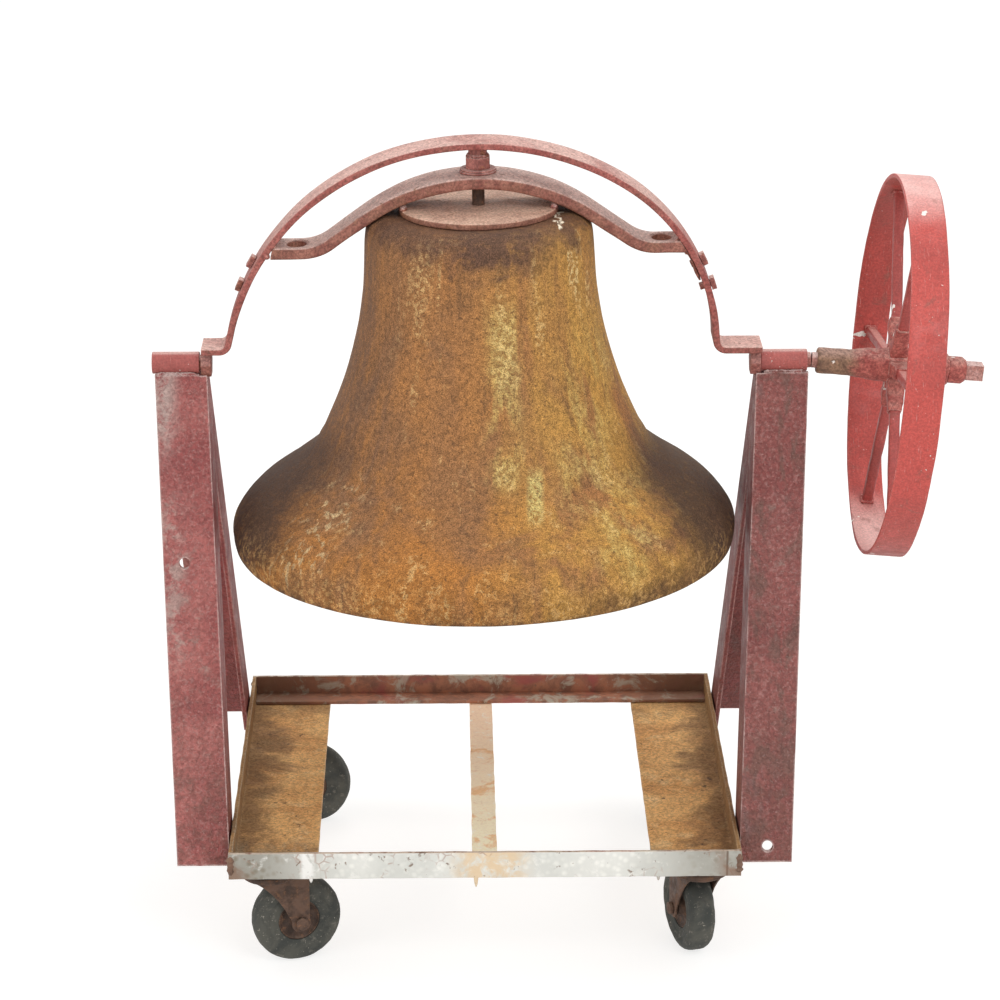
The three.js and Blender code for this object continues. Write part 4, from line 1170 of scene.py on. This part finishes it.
for name, sign in (("side_deck_left", -1), ("side_deck_right", 1)):
    outer = sign * TRAY_HALF
    kerb, inner = outer - sign * DECK_THICK, outer - sign * DECK_WIDE
    corners = [
        (outer, TRAY_LOW, 1.2), (outer, TRAY_TOP, 1.2), (kerb, TRAY_TOP, 1.2),
        (kerb, DECK_TOP, 3.5), (inner, DECK_TOP, 1), (inner, TRAY_LOW, 1),
    ]
    mesh = run_of(rounded(corners, 1, 3), -DECK_HALF, DECK_HALF, "y", 130, (24, 0.5, sign + 5))
    stand_in(name, mesh, DECK_RUST, smooth=40)
corners = [(-BAR_HALF, TRAY_LOW), (BAR_HALF, TRAY_LOW), (BAR_HALF, DECK_TOP), (-BAR_HALF, DECK_TOP)]
bar = run_of(rounded(corners, 1.2, 3), -DECK_HALF, DECK_HALF, "y", 120, (16, 0.6, 4))
stand_in("centre_bar", bar, BAR_RUST, smooth=40)


def drip(x, length, width):
    """A run of paint or weld hanging from the front rail's lower edge."""
    rings = []
    for share in (0, 0.12, 0.3, 0.5, 0.7, 0.85, 0.95, 1.0):
        radius = width / 2 * (1.15 - 0.45 * share) * math.sqrt(max(0.02, 1 - share**4))
        y, z = -TRAY_DEPTH + 2.4, TRAY_LOW + 1 - (length + 1) * share
        rings.append([at(x + radius * math.cos(a), y + radius * 0.8 * math.sin(a), z) for a in turns(14)])
    return lofted(rings)


DRIPS = {"left": (-208, 6, 4.4), "middle": (-11, 13, 5), "right": (207, 6, 4.4)}
for name, (x, length, width) in DRIPS.items():
    piece(f"rail_drip_{name}", drip(x, length, width), "stand", GALVANISED, smooth=60)
for side, where in ((-1, "left"), (1, "right")):
    for sign, face in ((-1, "front"), (1, "rear")):
        heights = [TRAY_LOW + 4 + 4.5 * k for k in range(7)]
        corner = [at(side * (TRAY_HALF - 2.4), sign * (TRAY_DEPTH - 2), z) for z in heights]
        bead = weld_bead(corner, 4.2, side + sign * 3.0, 0.5)
        piece(f"corner_weld_{face}_{where}", bead, "stand", WELD_RUST)

# --- the casters ------------------------------------------


AXLE_Z, FORK_TOP, FORK_THICK = -648, -577.4, 10  # heights below the swing axis
PAD_LOW, PAD_HIGH, PAD_SHRINK = -564.3, -560.3, 0.985


def stacked(outline, levels, place):
    """A flat outline at each (height, scale), put in its place by a matrix."""
    rings = []
    for z, grow in levels:
        rings.append([place @ Vector((p.x * grow * MM, p.y * grow * MM, z * MM)) for p in outline])
    return lofted(rings)


def caster_tyre(centre, direction):
    """Solid rubber: rounded shoulders, two raised rings on each sidewall, a stepped bead at the core."""
    side = [
        (26.3, 13.5), (28.5, 14.6), (31, 14.4), (33, 15.4), (36, 15.8), (38.5, 15.2), (40.5, 16.4),
        (44.5, 16.5), (47.5, 15.8), (50.5, 14.2), (53, 11.5), (54.4, 8), (55, 4), (55, 0),
    ]
    outline = side + [(r, -h) for r, h in reversed(side[:-1])] + [(26.3, -6), (26.3, 6)]
    return rough_surface(turned(outline, 96, centre, direction), 9, 0.5, 16.5)


def caster_core(centre, direction):
    """A dished steel hub with a raised boss round the axle."""
    side = [
        (5.05, 17.5), (9.5, 17.5), (10.5, 16.8), (11.5, 13.2), (13, 11.6),
        (20, 10.4), (23.4, 11.6), (24.6, 13), (25.8, 12.6), (26, 10),
    ]
    return rough_surface(
        turned(side + [(r, -h) for r, h in reversed(side)], 72, centre, direction), 8, 0.35, 3
    )


def fork_arm(side, crown_low, trail, place):
    """One leaf-shaped cheek, narrowing from the crown to a round end at the axle."""
    outline = [Vector((-23, crown_low)), Vector((44, crown_low))]
    for k in range(21):
        a = math.radians(20 - 216 * k / 20)
        outline.append(Vector((trail + 12 * math.cos(a), AXLE_Z + 12 * math.sin(a))))
    start, end = outline[-1], outline[0]
    pull = Vector((2, crown_low - 16))
    outline += [start * (1 - t) ** 2 + pull * 2 * t * (1 - t) + end * t * t for t in (0.2, 0.4, 0.6, 0.8)]
    middle = Vector((trail - 6, (crown_low + AXLE_Z) / 2))
    inner, outer = side * 19.9, side * 22.6
    rings = []
    for share, grow in ((0, 0.95), (0.15, 1), (0.8, 1), (1, 0.95)):
        y = inner + (outer - inner) * share
        grown = [middle + (p - middle) * grow for p in outline]
        rings.append([place @ Vector((p.x * MM, y * MM, p.y * MM)) for p in grown])
    return rough_surface(lofted(rings), 12, 0.6, side)


def caster_fork(place, trail):
    """A round crown, the bridge that joins it to the cheeks, and the two cheeks."""
    low, top = FORK_TOP - FORK_THICK, FORK_TOP
    ring = rounded(
        [(7.4, low, 0.5), (30, low, 2), (35, low + 3.4, 2), (35, top, 2.5), (7.4, top, 0.5)], 2, 4
    )
    crown = turned(ring, 72, place.to_translation())
    web = rounded([(0, -22.6), (42, -22.6), (42, 22.6), (0, 22.6)], 5, 4)
    bridge = stacked(web, [(low + 0.4, 1), (low + 2, 1), (top - 2, 1), (top - 0.6, 1)], place)
    arms = [fork_arm(side, low + 1.5, trail, place) for side in (-1, 1)]
    return joined(rough_surface(crown, 14, 0.6, 2), rough_surface(bridge, 14, 0.6, 6), *arms)


def caster_plate(place):
    """The top pad, the two ball races and the king pin's head."""
    pad = rounded([(-40, -45), (40, -45), (40, 45), (-40, 45)], 5, 4)
    levels = [(PAD_LOW, PAD_SHRINK), (PAD_LOW + 0.8, 1), (PAD_HIGH - 0.8, 1), (PAD_HIGH, PAD_SHRINK)]
    race = [
        (0, -577), (27, -577), (28.6, -575.8), (29, -573), (27, -571), (25.5, -570.4),
        (27, -569.8), (29, -568), (29.4, -565), (29.4, -564), (0, -564),
    ]
    head = [(0, -592.8), (10, -592.8), (12, -591), (12, -588.4), (11.4, -587.8), (7, -587.6), (7, -577)]
    head += [(0, -577)]
    centre = place.to_translation()
    return joined(stacked(pad, levels, place), turned(race, 72, centre), turned(head, 40, centre))


for corner in ("front_left", "front_right", "rear_left", "rear_right"):
    swivel, roll = JOINTS["swivel_" + corner], JOINTS["roll_" + corner]
    pin = Vector(swivel["pos_m"])
    centre, direction = Vector(roll["pos_m"]), Vector(roll["axis"])
    heading = math.atan2(-direction.x, direction.y)
    trail = (Vector((centre.x, centre.y, 0)) - Vector((pin.x, pin.y, 0))).length / MM
    still = Matrix.Translation(Vector((pin.x, pin.y, AXIS.z)))
    turning = still @ Matrix.Rotation(heading, 4, "Z")
    stand_in(f"caster_plate_{corner}", caster_plate(still), BROWN_IRON)
    stand_in(f"caster_fork_{corner}", caster_fork(turning, trail), BROWN_IRON, smooth=40)
    softened(f"caster_axle_{corner}", BROWN_IRON, 0.8, 2)
    stand_in(f"caster_tyre_{corner}", caster_tyre(centre, direction), RUBBER, smooth=45)
    stand_in(f"caster_core_{corner}", caster_core(centre, direction), CORE_IRON, smooth=40)

# --- floor, light and camera ------------------------------


FLOOR_GLOW, FLOOR_SEEN = 0.55, 0.74  # light the floor gives off, and how bright it looks


def floor_finish():
    f = Finish("pale_floor", specular=0.1)
    clouds = f.noise(3, 4, 0.6)
    f.base(clouds, (0.34, 0.337, 0.332), (0.37, 0.367, 0.362))
    f.put(f.shader.inputs["Emission Color"], (1.0, 0.995, 0.985))
    seen = f.add("ShaderNodeLightPath").outputs["Is Camera Ray"]
    f.put(f.shader.inputs["Emission Strength"], f.level(seen, 0.0, 1.0, FLOOR_GLOW, FLOOR_SEEN))
    return f.done(0.8, (clouds, 0.5))


ground = bmesh.new()
bmesh.ops.create_grid(ground, x_segments=8, y_segments=8, size=14)
floor = linked("floor", ground)
floor.data.materials.append(floor_finish())
floor.location.z = cad_low.z
floor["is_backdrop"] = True


def soft_light(name, place, size, power, colour=(1, 1, 1)):
    data = bpy.data.lights.new(name, "AREA")
    data.shape = "DISK"
    data.size = size
    data.energy = power
    data.color = colour
    light = linked(name, data)
    light.location = place
    light.rotation_euler = (Vector((0, 0, 0.5)) - Vector(place)).to_track_quat("-Z", "Y").to_euler()


soft_light("key", (1.6, -3.2, 3.2), 2.0, 50)
soft_light("fill", (-3.0, -2.2, 1.8), 2.4, 24)
soft_light("top", (0.2, 1.2, 3.8), 2.4, 36)

world = bpy.data.worlds.new("studio")
world.use_nodes = True
sky = world.node_tree
lit = sky.nodes["Background"]
lit.inputs["Color"].default_value = (1, 1, 1, 1)
lit.inputs["Strength"].default_value = 0.82
seen = sky.nodes.new("ShaderNodeBackground")
seen.inputs["Color"].default_value = (1, 1, 1, 1)
seen.inputs["Strength"].default_value = 1.0
path = sky.nodes.new("ShaderNodeLightPath")
either = sky.nodes.new("ShaderNodeMixShader")
sky.links.new(path.outputs["Is Camera Ray"], either.inputs[0])
sky.links.new(lit.outputs[0], either.inputs[1])
sky.links.new(seen.outputs[0], either.inputs[2])
sky.links.new(either.outputs[0], sky.nodes["World Output"].inputs[0])
bpy.context.scene.world = world
bpy.context.scene.view_settings.view_transform = "Standard"

lens = bpy.data.cameras.new("camera")
lens.sensor_width = 36
lens.lens = 119.9
camera = linked("camera", lens)
camera.location = (-0.1457, -3.8696, 1.9048)
camera.rotation_euler = (math.radians(90 - 19.64), 0, math.radians(-0.92))
bpy.context.scene.camera = camera

low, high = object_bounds()
